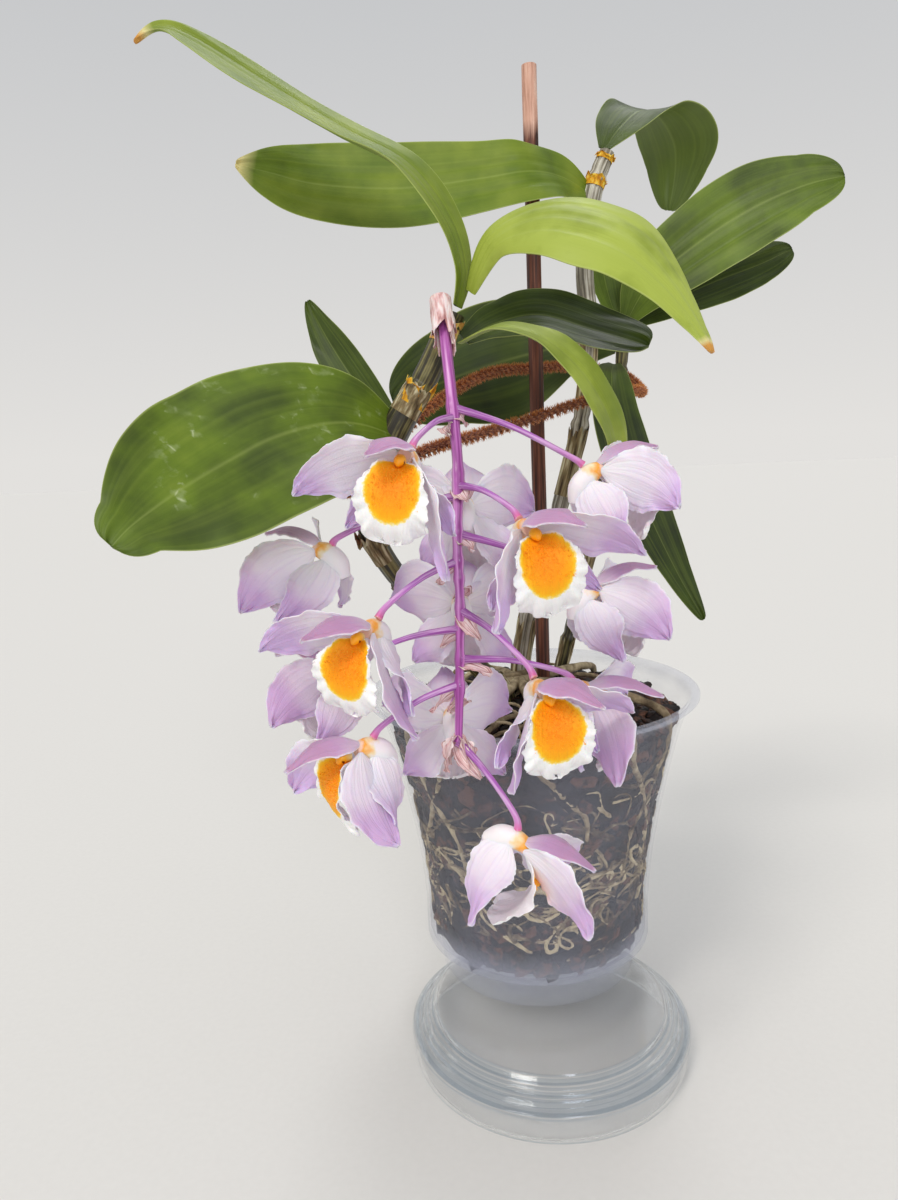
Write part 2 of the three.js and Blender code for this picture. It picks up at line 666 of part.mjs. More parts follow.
function makeRootsAndBark() {
  const canes = [CANE_A, CANE_B, CANE_C].map((cane) => solid(stem(cane, ...SPLIT.cane, AIR)));
  const rooms = [...canes, solid(stem(STAKE, ...SPLIT.stakeRoom, AIR))];
  const rhizome = solid(stem(RHIZOME, ...SPLIT.rhizome));
  const roots = ROOTS.map((root) => {
    const shape = { path: rootPath(root), radius: ROOT.radius };
    return solid(stem(shape, ...SPLIT.root));
  });
  addPiece('roots', geometryOf(cleared(joined([rhizome, ...roots]), rooms)), FINISHES.root);

  const rhizomeRoom = solid(stem(RHIZOME, ...SPLIT.rhizome, AIR));
  const bark = cleared(solid(barkSkin()), [...rooms, rhizomeRoom]);
  addPiece('medium', geometryOf(bark), FINISHES.bark);
}

function makeStems() {
  addPiece('stake', stem(STAKE, ...SPLIT.stake), FINISHES.stake);
  addPiece('cane_flowering', stem(CANE_A, ...SPLIT.cane), FINISHES.greenCane);
  addPiece('cane_old', stem(CANE_B, ...SPLIT.cane), FINISHES.dryCane);
  addPiece('cane_young', stem(CANE_C, ...SPLIT.youngCane), FINISHES.youngCane);
  addPiece('tie', closedRing(TIE_PATH, TIE_RADIUS, ...SPLIT.tie), FINISHES.chenille);
}

function makeLeaves() {
  for (const [name, leaf] of Object.entries(LEAVES)) {
    const caneRoom = solid(stem(LEAF_CANES[name], ...SPLIT.cane, AIR));
    const steps = leaf.path.length > 6 ? SPLIT.longLeaf : SPLIT.shortLeaf;
    const strips = Math.max(...leaf.half) > 12 ? SPLIT.wideLeaf : SPLIT.narrowLeaf;
    const body = cleared(solid(blade(leaf, steps, strips)), [caneRoom]);
    addPiece(name, geometryOf(body), FINISHES.leaf);
  }
}

/** The place and turn of a flower, as a matrix. */
function flowerPlace({ hub, turn, tilt, roll }) {
  const [az, el, spin] = [turn, tilt, roll].map(THREE.MathUtils.degToRad);
  const look = new THREE.Vector3(
    Math.sin(az) * Math.cos(el), -Math.cos(az) * Math.cos(el), Math.sin(el),
  );
  const level = new THREE.Vector3(0, 0, 1).addScaledVector(look, -look.z).normalize();
  const right = level.clone().cross(look);
  const up = level.clone().multiplyScalar(Math.cos(spin)).addScaledVector(right, Math.sin(spin));
  return new THREE.Matrix4().makeBasis(up.clone().cross(look), up, look).setPosition(...hub);
}

/** A tepal bent a little differently on each flower. */
function varied(tepal, flower, k) {
  const last = tepal.path.length - 1;
  const path = tepal.path.map((point, i) =>
    point.map((value, axis) => {
      const { most, draw } = BEND[axis];
      return value + most * (i / last) ** 2 * scatter(flower, k + draw);
    }),
  );
  return { ...tepal, path };
}

/** A tepal that points to the right, swept forward and then nodding, by degrees. */
function swept(tepal, [sweep, nod], flare = 0) {
  const [s, n] = [sweep, nod].map(THREE.MathUtils.degToRad);
  const turn = ([x, y, z]) => {
    const forward = x * Math.sin(s) + z * Math.cos(s);
    return [
      x * Math.cos(s) - z * Math.sin(s),
      y * Math.cos(n) - forward * Math.sin(n),
      y * Math.sin(n) + forward * Math.cos(n),
    ];
  };
  const face = tepal.face.map(([x, y, z]) => turn([x, y + flare * Math.sin(s), z]));
  return { ...tepal, path: tepal.path.map(turn), face };
}

/** The thin stalk from the main stalk to a flower. */
function pedicelOf({ hub, from }, place) {
  const step = 0.005;
  let t = 0;
  while (t < 1 && along(RACHIS.path, t)[2] > from) {
    t += step;
  }
  const start = pointAt(RACHIS.path, t);
  const centre = new THREE.Vector3(...HUB.centre).applyMatrix4(place);
  const way = start.clone().sub(centre).normalize();
  const back = new THREE.Vector3(...PEDICEL.back).transformDirection(place);
  const into = way.clone().add(back).normalize();
  const end = centre.clone().addScaledVector(into, HUB.radius + AIR);
  const bend = centre.clone().addScaledVector(into, PEDICEL.bend);
  const middle = start.clone().lerp(bend, 0.5).add(new THREE.Vector3(0, 0, PEDICEL.arch));
  return {
    path: [start, middle, bend, end].map((p) => p.toArray()),
    radius: [PEDICEL.foot, PEDICEL.radius, PEDICEL.radius, PEDICEL.top],
  };
}

/** One flower's sepals and petals, joined at its spur. */
function tepalsOf(flower, i, place) {
  const [lean, rise] = flower.dorsal;
  const pieces = [
    stem(SPUR, ...SPLIT.spur),
    blade(swept(varied(DORSAL, i, 1), [-lean, -rise]), ...SPLIT.dorsal),
    blade(swept(varied(PETAL, i, 2), flower.right, FLARE), ...SPLIT.petal),
    blade(swept(varied(PETAL, i, 3), flower.left, FLARE), ...SPLIT.petal, -1),
    blade(varied(SEPAL, i, 4), ...SPLIT.sepal),
    blade(varied(SEPAL, i, 5), ...SPLIT.sepal, -1),
  ];
  return joined(pieces.map((piece) => solid(piece.applyMatrix4(place))));
}

function makeFlowers() {
  const stalk = [solid(stem(RACHIS, ...SPLIT.stalk)), solid(stem(SHEATH, ...SPLIT.sheath))];
  FLOWERS.forEach((flower, i) => {
    const number = String(i + 1).padStart(2, '0');
    const place = flowerPlace(flower);
    const pedicel = pedicelOf(flower, place);
    stalk.push(solid(stem(pedicel, ...SPLIT.pedicel)));
    const pedicelRoom = solid(stem(pedicel, ...SPLIT.pedicel, AIR));
    const lipRoom = solid(blade(LIP, ...SPLIT.lip, 1, AIR).applyMatrix4(place));
    const tepals = cleared(tepalsOf(flower, i, place), [pedicelRoom, lipRoom]);
    addPiece(`flower_${number}`, geometryOf(tepals), FINISHES.tepal);
    const lip = [blade(LIP, ...SPLIT.lip), stem(COLUMN, ...SPLIT.column)];
    const lipBody = joined(lip.map((piece) => solid(piece.applyMatrix4(place))));
    addPiece(`lip_${number}`, geometryOf(lipBody), FINISHES.lip);
  });
  const caneRoom = solid(stem(CANE_A, ...SPLIT.cane, AIR));
  addPiece('rachis', geometryOf(cleared(joined(stalk), [caneRoom])), FINISHES.stalk);
}

makeSaucer();
makePot();
makeRootsAndBark();
makeStems();
makeLeaves();
makeFlowers();

const bounds = new THREE.Box3().setFromObject(orchid);
const middle = bounds.getCenter(new THREE.Vector3());
orchid.position.set(-middle.x, -middle.y, -bounds.min.z);

export default orchid;
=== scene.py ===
import math

import bpy
import numpy as np
from bpy.props import FloatProperty, FloatVectorProperty, IntProperty, PointerProperty
from mathutils import Matrix, Vector


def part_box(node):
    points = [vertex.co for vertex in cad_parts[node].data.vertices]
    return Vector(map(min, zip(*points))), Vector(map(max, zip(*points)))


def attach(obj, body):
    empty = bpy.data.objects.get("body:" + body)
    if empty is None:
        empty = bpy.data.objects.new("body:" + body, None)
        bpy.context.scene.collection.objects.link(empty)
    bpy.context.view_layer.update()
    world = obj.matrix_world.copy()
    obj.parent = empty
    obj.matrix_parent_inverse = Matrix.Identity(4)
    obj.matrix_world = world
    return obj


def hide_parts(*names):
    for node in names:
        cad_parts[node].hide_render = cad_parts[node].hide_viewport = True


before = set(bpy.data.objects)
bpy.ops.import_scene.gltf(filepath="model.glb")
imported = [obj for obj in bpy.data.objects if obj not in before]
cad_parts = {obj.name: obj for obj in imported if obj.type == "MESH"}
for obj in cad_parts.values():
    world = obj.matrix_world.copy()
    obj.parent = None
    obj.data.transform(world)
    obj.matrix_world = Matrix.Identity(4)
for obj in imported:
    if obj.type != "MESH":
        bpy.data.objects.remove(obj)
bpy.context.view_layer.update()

bl_info = {
    "name": "Dendrobium orchid in a clear pot",
    "version": (1, 0, 0),
    "blender": (4, 5, 0),
    "location": "View3D > Sidebar > Orchid",
    "description": "Grows the finished petals, leaves, stems, roots, bark and pot on the orchid's frame",
    "category": "Add Mesh",
}

MM = 0.001
TURN = 2 * math.pi
LOW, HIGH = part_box("pot")
POT_AXIS = np.array([(LOW.x + HIGH.x) / 2, (LOW.y + HIGH.y) / 2, 0.0])
BODY = "root"


def linear(code):
    """An sRGB hex colour as linear red, green, blue and alpha."""
    parts = [int(code[i:i + 2], 16) / 255 for i in (1, 3, 5)]
    return [p / 12.92 if p <= 0.04045 else ((p + 0.055) / 1.055) ** 2.4 for p in parts] + [1.0]


# ---------------------------------------------------------------- forms, in mm about the pot's axis

# Where the random draws of the bark, the roots, the tie's pile and the throat hairs start.
BARK_DRAW, ROOT_DRAW, PILE_DRAW, HAIR_DRAW = 11, 5, 21, 300

AIR = 0.3  # the gap kept where one part stops short of another
BLADE = 0.7  # a leaf's greatest thickness
TEPAL = 0.6  # a petal's, a sepal's or a lip's
PAPER = 0.2  # a bract's
FILLET = 0.3  # how far back the saucer's corners are rounded

SAUCER_CENTRE = (1, -30)
SAUCER_WALL = 1.2
SAUCER_OUTSIDE = [
    (50, 0), (51.2, 9.6), (50.6, 10.8), (48.4, 11.4), (47.9, 13.2),
    (45.7, 13.9), (45.2, 15.7), (43.2, 16.6), (41.7, 18.7),
]
SAUCER_TOP = SAUCER_OUTSIDE[-1][1]
SAUCER_INSIDE = [(41, SAUCER_TOP - SAUCER_WALL), (44.4, 14.2), (47, 10.6), (49.8, 9.4), (48.8, 0)]

POT_WALL = 1.1
LIP_RADIUS, LIP_WIDTH, LIP_THICKNESS, LIP_TOP = 62.5, 3.4, 1.5, 128.6
FOOT_BOTTOM = SAUCER_TOP + AIR
POT_OUTSIDE = [
    (38, FOOT_BOTTOM), (38.4, 30.4), (43.8, 31), (43.8, 46), (45.6, 66),
    (49.2, 87), (52.8, 104), (55.8, 116), (59.4, LIP_TOP - LIP_THICKNESS),
]
POT_FLOOR = 32.2

# The bark's height at the wall, how much higher it is in the middle and how far out its edge is.
BARK_EDGE, BARK_MOUND, BARK_REACH = 120.5, 6, 55
# Its core, painted dark as the shade between the chips, stays this far from the wall and this far
# below the top, and the loose chips this far from the wall.
CORE_GAP, CORE_DEPTH, CHIP_GAP = 1.2, 3, 0.7
CHIPS_ON_TOP = 0.35  # the share of the chips that lie on top
CHIP_SIZES = [(3, 7), (2, 4), (1, 2.2)]  # least and most of its half length, breadth and thickness

STAKE = {"path": [[5, 0, 46], [5, 2, 200], [5, 4, 348]], "radius": [2.6, 2.6, 2.6]}

# Canes. joints: where its nodes are, as shares of its length. ribs: how many and how deep. wraps: how
# many nodes have a sheath, how far it runs below and above the node, its spread, its turn from one node
# to the next, its gap, seed, flare and torn teeth. loose: the shares of tan and gold of each other
# sheath, where it runs from and to, and its spread, turn, gap, seed, flare and teeth.
CANES = {
    "flowering": {
        "path": [[-8, -3, 114], [-11, -6, 129], [-21, -12, 141], [-35, -22, 160], [-46, -30, 176],
                 [-54, -36, 192], [-54, -40, 207], [-45, -42, 226], [-34, -42, 243], [-25, -42, 261]],
        "radius": [3.4, 3.6, 3.4, 3.3, 3.4, 3.8, 4.2, 4.8, 4, 3.6],
        "slot": "cane_green", "joints": (0.16, 0.3, 0.44, 0.58, 0.71, 0.86, 0.97),
        "sides": 36, "steps": 260, "ribs": (9, 0.14), "wraps": (6, 0.05, 0.012, 2.2, 1.7, 0.25, 0, 0.5, 1.6),
        "loose": [((0, 1), 0.83, 0.885, 2.9, 0.4, 0.3, 31, 0.7, 3.0),
                  ((1, 0), 0.5, 0.6, 2.0, 2.0, 0.3, 41, 1.6, 5.0),
                  ((0.2, 0.8), 0.94, 0.995, 2.6, 2.0, 0.3, 51, 0.6, 2.0)],
    },
    "old": {
        "path": [[-4, 12, 114], [-3, 12, 132], [1, 12, 154], [9, 12, 180], [15, 12, 200],
                 [21, 12, 222], [25, 13, 244], [26, 14, 264], [25, 15, 284], [28, 15, 308], [34, 16, 323]],
        "radius": [3.2, 3.6, 3.2, 2.8, 3.1, 3, 3, 3.3, 3.1, 3.4, 2.6],
        "slot": "cane_dry", "joints": (0.2, 0.36, 0.52, 0.68, 0.82, 0.93),
        "sides": 36, "steps": 260, "ribs": (11, 0.2), "wraps": (4, 0.12, 0.008, 2.7, 2.1, 0.3, 60, 0.4, 4.0),
        "loose": [((0, 1), 0.8, 0.835, 3.0, 0.4, 0.35, 70, 0.8, 1.6),
                  ((0, 1), 0.915, 0.94, 3.0, 1.4, 0.35, 71, 0.8, 1.6),
                  ((0, 1), 0.97, 0.995, 3.0, 2.4, 0.35, 72, 0.8, 1.6)],
    },
    "young": {
        "path": [[12, 26, 114], [16, 26, 132], [27, 27, 173], [35, 27, 209], [40, 27, 240], [42, 27, 264]],
        "radius": [2.6, 2.6, 2.4, 2.3, 2.2, 2.6],
        "slot": "cane_green", "joints": (0.25, 0.45, 0.65, 0.85),
        "sides": 28, "steps": 180, "ribs": (7, 0.1), "wraps": (4, 0.1, 0.01, 2.6, 2.6, 0.25, 80, 0.3, 2.0),
        "loose": [((0.6, 0.2), 0.93, 0.995, 3.0, 1.0, 0.5, 90, 1.0, 1.0)],
    },
}

WIRE_RADIUS, TIE_RADIUS = 1.1, 2.2  # of the bare wire and of the pile on it
PILE_PITCH = 4.0  # the pile winds once round the wire in this length
FIBRE_RADIUS = 0.22
TIE_PATH = [
    [-56, -49, 209], [-47, -52, 214], [-34, -49, 220], [-18, -38, 224], [2, -16, 229], [24, -2, 235],
    [42, 12, 238], [48, 25, 239], [42, 34, 246], [24, 28, 249], [5, 14, 248], [-12, 2, 246],
    [-28, -12, 238], [-42, -25, 227], [-54, -31, 215], [-60, -36, 210], [-61, -43, 208],
]

# Leaves, from base to tip. half: half widths. face: where the upper side looks. fold: how far the
# margins rise. wave: height and number of its waves. round: how blunt its end is. ease: the share of
# its length over which a bend is evened out. crease: how deep its midrib lies. pleats: where it is
# pleated, across. age: 0 dark green to 1 yellow-green; the lowest ages also paint the shade on the
# leaves that hang down or stand behind. tip: how far its tip has browned.
LEAVES = {
    "leaf_01": {
        "path": [[-24, -42, 263], [-22, -42, 274], [-26, -42, 288], [-38, -42, 304], [-56, -42, 314],
                 [-78, -42, 327], [-98, -42, 340], [-107, -44, 343], [-114, -46, 339]],
        "half": [3.4, 6, 9, 11, 12, 11, 7.5, 4.5, 1],
        "face": [[0.9, -0.35, 0.2], [0.7, -0.45, 0.5], [0.4, -0.45, 0.8], [0.35, -0.55, 0.75],
                 [-0.3, -0.5, 0.8]],
        "fold": 0.12, "round": 0.3, "pleats": (-0.4, 0.4), "age": 0.5, "tip": 1.0,
    },
    "leaf_02": {
        "path": [[27, 15, 309], [16, 5, 312], [3, -7, 311], [-14, -8, 309], [-41, -8, 307],
                 [-68, -9, 309], [-84, -10, 313], [-95, -11, 316]],
        "half": [3, 8.5, 11.5, 13.5, 15.6, 13.6, 9, 1],
        "face": [[0.1, -1, 0.3], [0, -0.95, 0.3], [0, -0.95, 0.3]],
        "fold": 0.1, "wave": [1.2, 1.2], "round": 0.1, "pleats": (-0.4, 0.35), "age": 0.42, "tip": 0.5,
    },
    "leaf_03": {
        "path": [[-20, -43, 267], [-13, -50, 280], [0, -58, 284], [13, -65, 281],
                 [25, -70, 274], [35, -73, 262], [42, -75, 250], [45, -76, 243]],
        "half": [2.4, 7, 12.5, 15.6, 16, 12, 7, 4],
        "face": [[-0.5, -0.75, 0.4], [-0.2, -0.75, 0.65], [0.1, -0.7, 0.7], [0.45, -0.6, 0.6],
                 [0.9, -0.3, -0.2]],
        "fold": -0.22, "round": 0.5, "pleats": (-0.45, 0.35), "age": 0.72, "tip": 1.25,
    },
    "leaf_04": {
        "path": [[33, 16, 324], [40, 22, 333], [49, 30, 341], [58, 38, 342], [66, 46, 335],
                 [68, 51, 326], [66, 53, 311]],
        "half": [2.4, 10, 14, 16.5, 17, 12, 2],
        "face": [[-0.4, -0.9, 0.3], [-0.3, -0.75, 0.6], [0.2, -0.1, 1], [0.5, 0.7, 0.5], [0.1, 1, 0.1]],
        "fold": 0.18, "round": 0.3, "age": 0.04,
    },
    "leaf_05": {
        "path": [[43, 27, 265], [51, 23, 278], [68, 18, 291], [86, 13, 301], [103, 9, 307], [116, 6, 309]],
        "half": [2.6, 11, 15.5, 16.5, 12, 1.4],
        "face": [[-0.2, -0.9, 0.3], [-0.2, -0.9, 0.35], [-0.1, -0.9, 0.4]],
        "fold": 0.1, "round": 0.6, "pleats": (-0.4, 0.4), "age": 0.26,
    },
    "leaf_06": {
        "path": [[45, 30, 264], [60, 33, 272], [80, 36, 280], [98, 37, 286], [110, 36, 291]],
        "half": [2.2, 8, 11, 9, 1],
        "face": [[0, -0.8, 0.5], [0.1, -0.8, 0.5], [0.2, -0.8, 0.5]],
        "fold": 0.12, "round": 0.5, "age": 0.02,
    },
    "leaf_07": {
        "path": [[40, 32, 256], [22, 39, 258], [-2, 41, 254], [-26, 38, 247], [-49, 34, 238]],
        "half": [2.6, 14, 25, 21, 1.4],
        "face": [[0, -0.95, 0.3], [0, -0.95, 0.3], [-0.1, -0.95, 0.3]],
        "fold": 0.08, "round": 0.6, "age": 0.05,
    },
    "leaf_08": {
        "path": [[-22, -41, 253], [-12, -38, 258], [2, -38, 260], [18, -44, 254], [33, -52, 248]],
        "half": [2.6, 7, 10, 10, 4],
        "face": [[0.1, -0.8, 0.6], [0.2, -0.8, 0.6], [0.3, -0.8, 0.6]],
        "fold": 0.16, "round": 0.9, "age": 0.06,
    },
    "leaf_09": {
        "path": [[-23, -45, 252], [-12, -52, 255], [0, -58, 251], [10, -62, 242], [18, -61, 230],
                 [22, -57, 218], [20, -52, 207]],
        "half": [2.4, 6, 7.5, 8, 7.5, 6, 1.2],
        "face": [[0, -0.35, 0.95], [0.15, -0.35, 0.9], [0.5, -0.65, 0.5], [0.75, -0.65, 0.2]],
        "fold": 0.1, "round": 0.3, "age": 0.62,
    },
    "leaf_10": {
        "path": [[-42, -43, 223], [-54, -52, 228], [-65, -60, 228.5], [-78, -70, 225], [-88, -80, 219.5],
                 [-97, -88, 214], [-104, -94, 209], [-110, -100, 204], [-114, -104, 199.5]],
        "half": [4.5, 16, 24, 27, 26, 23, 18, 10, 1],
        "face": [[0.05, -0.85, 0.5], [0.1, -0.85, 0.5], [0.15, -0.9, 0.4]],
        "fold": 0.06, "wave": [2, 1.3], "round": 0.7, "ease": 0.1, "crease": 0.1, "age": 0.26,
    },
    "leaf_11": {
        "path": [[-45, -37, 227], [-56, -30, 240], [-66, -24, 256], [-73, -20, 270]],
        "half": [3, 6.5, 6, 0.8],
        "face": [[-0.3, -0.8, 0.5], [-0.4, -0.7, 0.5], [-0.6, -0.7, 0.3]],
        "fold": 0.25, "round": 0.2, "age": 0.05,
    },
    "leaf_12": {
        "path": [[40, 28, 265], [37, 33, 277], [36, 37, 290], [41, 40, 302]],
        "half": [2.4, 7, 7.5, 1],
        "face": [[0.3, -0.95, 0.1], [0.3, -0.95, 0.1]],
        "fold": 0.25, "round": 0.4, "age": 0.3,
    },
    "leaf_13": {
        "path": [[37, 22, 249], [33, 6, 244], [31, -8, 232], [34, -13, 215], [42, -14, 194],
                 [52, -14, 173], [62, -14, 155]],
        "half": [2.4, 6, 9, 10, 8.5, 5.5, 0.9],
        "face": [[0, -0.5, 0.9], [0.3, -0.85, 0.5], [0.3, -0.95, 0], [0.3, -0.95, 0.1]],
        "fold": 0.14, "round": 0.3, "age": 0.0,
    },
}
CHALKED_LEAF = "leaf_10"  # the one with lime from watering

RACHIS = {
    "path": [[-28, -47, 262], [-28, -55, 252], [-27, -64, 235], [-26, -72, 214], [-27, -78, 195],
             [-27, -82, 177], [-28, -86, 156], [-29, -88, 139]],
    "radius": [1.9, 1.7, 1.6, 1.5, 1.4, 1.3, 1.2, 1.1],
}
PEDICEL = [1.2, 0.85, 0.85, 1.2]  # its radius from the stalk to the flower
NODE_SWELL = 0.35  # how much the stalk swells where a pedicel leaves it

# Flowers: the centre that the pedicel reaches, the flower's turn, tilt and roll in degrees, the height
# at which the pedicel leaves the stalk, how far the petals and the upper sepal sweep and nod in
# degrees, and how much longer than usual the petals are.
FLOWERS = [
    dict(hub=(-40, -92, 218), turn=-14, tilt=-8, roll=8, leaves=229,
         left=(22, 42), right=(50, 70), dorsal=(-16, -4), reach=1.18),
    dict(hub=(14, -74, 212), turn=98, tilt=6, roll=0, leaves=232,
         left=(44, 34), right=(35, 25), dorsal=(0, 0)),
    dict(hub=(-68, -68, 192), turn=-112, tilt=0, roll=0, leaves=207,
         left=(25, 20), right=(43, 40), dorsal=(0, 0)),
    dict(hub=(14.5, -66, 176.5), turn=102, tilt=2, roll=0, leaves=197,
         left=(44, 42), right=(30, 25), dorsal=(0, 0)),
    dict(hub=(-8.7, -97, 198.4), turn=16, tilt=-10, roll=-10, leaves=210,
         left=(46, 46), right=(16, 50), dorsal=(25, -4), reach=1.16),
    dict(hub=(-52.5, -93, 172.5), turn=-30, tilt=-12, roll=8, leaves=189,
         left=(14, 38), right=(50, 74), dorsal=(-20, -2), reach=1.18),
    dict(hub=(-63.5, -68, 156), turn=-108, tilt=-2, roll=0, leaves=171,
         left=(25, 25), right=(46, 34), dorsal=(0, 0)),
    dict(hub=(-6.2, -99, 155.5), turn=14, tilt=-10, roll=-4, leaves=176,
         left=(52, 76), right=(16, 55), dorsal=(22, -4)),
    dict(hub=(9.4, -78.4, 149), turn=72, tilt=-16, roll=0, leaves=162,
         left=(46, 50), right=(20, 20), dorsal=(10, 0)),
    dict(hub=(-56.5, -94, 139.5), turn=-62, tilt=-16, roll=4, leaves=155,
         left=(32, 40), right=(44, 80), dorsal=(-10, 0), reach=1.08),
    dict(hub=(-12, -98, 111), turn=66, tilt=-50, roll=0, leaves=139,
         left=(62, -10), right=(28, 20), dorsal=(0, 30)),
    dict(hub=(-24, -62, 203), turn=176, tilt=-6, roll=0, leaves=213,
         left=(32, 0), right=(32, -6), dorsal=(4, 40)),
    dict(hub=(-27, -67, 175), turn=184, tilt=-6, roll=0, leaves=184,
         left=(34, -4), right=(32, 0), dorsal=(-4, 40)),
    dict(hub=(-31, -73, 142), turn=186, tilt=-10, roll=0, leaves=153,
         left=(32, 0), right=(34, -4), dorsal=(3, 40)),
]
HUB_CENTRE, HUB_RADIUS = (0, 0.2, -2), 3.1
TIP_STRAY = (1.2, 1.4, 2.2)  # how far a tepal's tip strays at most: across, up and ahead
SPUR = {
    "path": [[0, 0.8, 0.7], [0, -0.4, -3], [0, -3.6, -6.4], [0, -8, -8]],
    "radius": [2, 2.8, 3.2, 2.2],
}
DORSAL = {
    "path": [[0, 1.9, -1], [0, 5.6, 4], [0, 6.4, 11], [0, 3.6, 19]],
    "half": [0.9, 4.4, 5.6, 5, 2.6, 0.4],
    "face": [[0, 0, 1], [0, -0.8, 0.6], [0, -1, 0.1]],
    "fold": 0.3,
}
PETAL = {
    "path": [[1.1, 0.2, -1.4], [9.6, 1.6, -0.4], [18.4, 1.4, 1.6], [26.8, -0.6, 4.4]],
    "half": [0.9, 6, 9, 8.6, 4.9, 0.4],
    "face": [[0, 0, 1], [-0.15, 0, 1], [-0.3, 0, 1]],
    "fold": 0.1,
}
FLARE = 0.6  # how much more a petal's face looks up as the petal sweeps forward
BLUSH_DRAW = 163  # which of the repeatable spreads tints the petals
TURNED_AWAY = 170  # degrees: a flower turned further than this shows its paler back
BACK_BREADTH = 1.22  # how much broader the tepals of such a flower lie
SEPAL = {
    "path": [[1.8, -2.2, -4.2], [6, -7.6, -2.8], [11, -13.4, -0.4], [15, -18.6, 4]],
    "half": [1.4, 5.8, 7, 6, 3, 0.4],
    "face": [[-1, -0.5, 0.1], [-0.8, -0.2, 0.5], [-0.4, 0.3, 0.9]],
    "fold": 0.14,
}
LIP = {
    "path": [[0, -1, 2.4], [0, -2.2, 6], [0, -5.2, 9.8], [0, -10.6, 11.6], [0, -16.2, 11], [0, -20.6, 8.6]],
    "half": [1.8, 5.2, 8.6, 9.8, 8.8, 4.6],
    "face": [[0, 1, 0], [0, 1, 0.3], [0, 0.6, 0.8], [0, 0.1, 1], [0, -0.2, 1]],
    "fold": [0.3, 0.5, 0.24, 0.04, -0.1, -0.14],
    "round": 0.75,
}
COLUMN = {
    "path": [[0, -0.2, 2.6], [0, 0.5, 4.4], [0, 0.1, 5.7], [0, -0.6, 6.7]],
    "radius": [1.2, 1.5, 1.4, 0.6],
}
HAIR_RADIUS = 0.13

# The main roots: where each reaches the wall, how deep it goes there and how far it drifts round.
ROOT_RADIUS, ROOT_LIFT = 1.25, 4.4
ROOT_TAPER = [2.2, 1.7, 1.4, 1.2, 1.1, 1, 0.9, 0.8, 0.5]
LOOSE_ROOTS = 24  # short roots that lie on top of the bark
ROOTS = [(205, 74, 40), (232, 60, -36), (262, 48, 40), (300, 66, 44), (334, 70, -36), (50, 60, 40),
         (120, 64, 40)]

# The stage: the camera's place from the pot's axis, its pitch and roll in degrees, how far the floor
# reaches in metres, and how many degrees across a lamp is, which softens its shadows.
CAMERA_STAND = (-30.07, -318.86, 221.21)
CAMERA_PITCH, CAMERA_ROLL = 10.25, -2.38
FLOOR_REACH = 6.0
LAMP_BREADTH = 18


# ---------------------------------------------------------------- sizes and colours a user would change

def tint(name, description, code):
    """A colour that the user can change, from its hex code."""
    return FloatVectorProperty(
        name=name, description=description, subtype="COLOR", size=4, default=linear(code))


class PotSettings(bpy.types.PropertyGroup):
    facets: IntProperty(
        name="Facets", description="Facets round the pot and the saucer", default=144, min=24)
    saucer_colour: tint("Saucer", "Tint of the clear saucer", "#f4f8fb")
    pot_colour: tint("Pot", "Tint of the milky pot", "#dcdfe9")
    pot_haze: FloatProperty(
        name="Haze", description="How much of the light one side of the pot's wall scatters",
        default=0.09, min=0, max=1)
    saucer_body: FloatProperty(
        name="Saucer body", description="How much of the light one side of the saucer bends",
        default=0.25, min=0, max=1)
    chips: IntProperty(
        name="Bark chips", description="Loose chips of bark in the pot", default=2200, min=0)
    roots: IntProperty(
        name="Fine roots", description="Roots that wander along the wall", default=130, min=0)


class PlantSettings(bpy.types.PropertyGroup):
    leaf_dark: tint("Old leaf", "Colour of a shaded old leaf", "#202d07")
    leaf_light: tint("Young leaf", "Colour of a sunned leaf", "#a3b247")
    leaf_tip: tint("Leaf tip", "Colour of a dying leaf tip", "#cf9440")
    vein: FloatProperty(
        name="Vein spacing", description="Distance between a leaf's parallel veins in millimetres",
        default=1.1, min=0.2)
    pile: IntProperty(name="Tie pile", description="Fibres on the chenille tie", default=17000, min=0)


class FlowerSettings(bpy.types.PropertyGroup):
    tepal_pale: tint("Petal centre", "Petal colour near the flower's centre", "#f7f2f5")
    tepal_deep: tint("Petal tip", "Petal colour towards the tip", "#d2b6e2")
    tepal_back: tint("Sepal back", "Colour of the upper sepal's keeled back", "#b98db2")
    lip_white: tint("Lip edge", "Colour of the lip's frilled edge", "#fbf9f8")
    lip_disc: tint("Lip disc", "Colour of the disc on the lip", "#ff9f00")
    stalk: tint("Stalk", "Colour of the flower stalk", "#b25bac")
    hairs: IntProperty(
        name="Throat hairs", description="Short hairs in each lip's throat", default=420, min=0)


class StudioSettings(bpy.types.PropertyGroup):
    lens: FloatProperty(
        name="Lens", description="Focal length on a 36 mm film", default=25.8, unit="CAMERA")
    floor_colour: tint("Floor", "Colour of the plain floor", "#dedcd8")
    key_strength: FloatProperty(
        name="Key light", description="Strength of the main soft light", default=1.25, min=0)
    fill_strength: FloatProperty(
        name="Fill light", description="Strength of the soft fill light", default=0.7, min=0)
    sky: FloatProperty(
        name="Sky", description="Strength of the even light all round", default=0.95, min=0)


# ---------------------------------------------------------------- working out forms

def between(a, b, c, d, f):
    """The smooth value a share f of the way from b to c, in a run of four."""
    return 0.5 * (2 * b + (c - a) * f + (2 * a - 5 * b + 4 * c - d) * f**2 + (3 * b - a - 3 * c + d) * f**3)


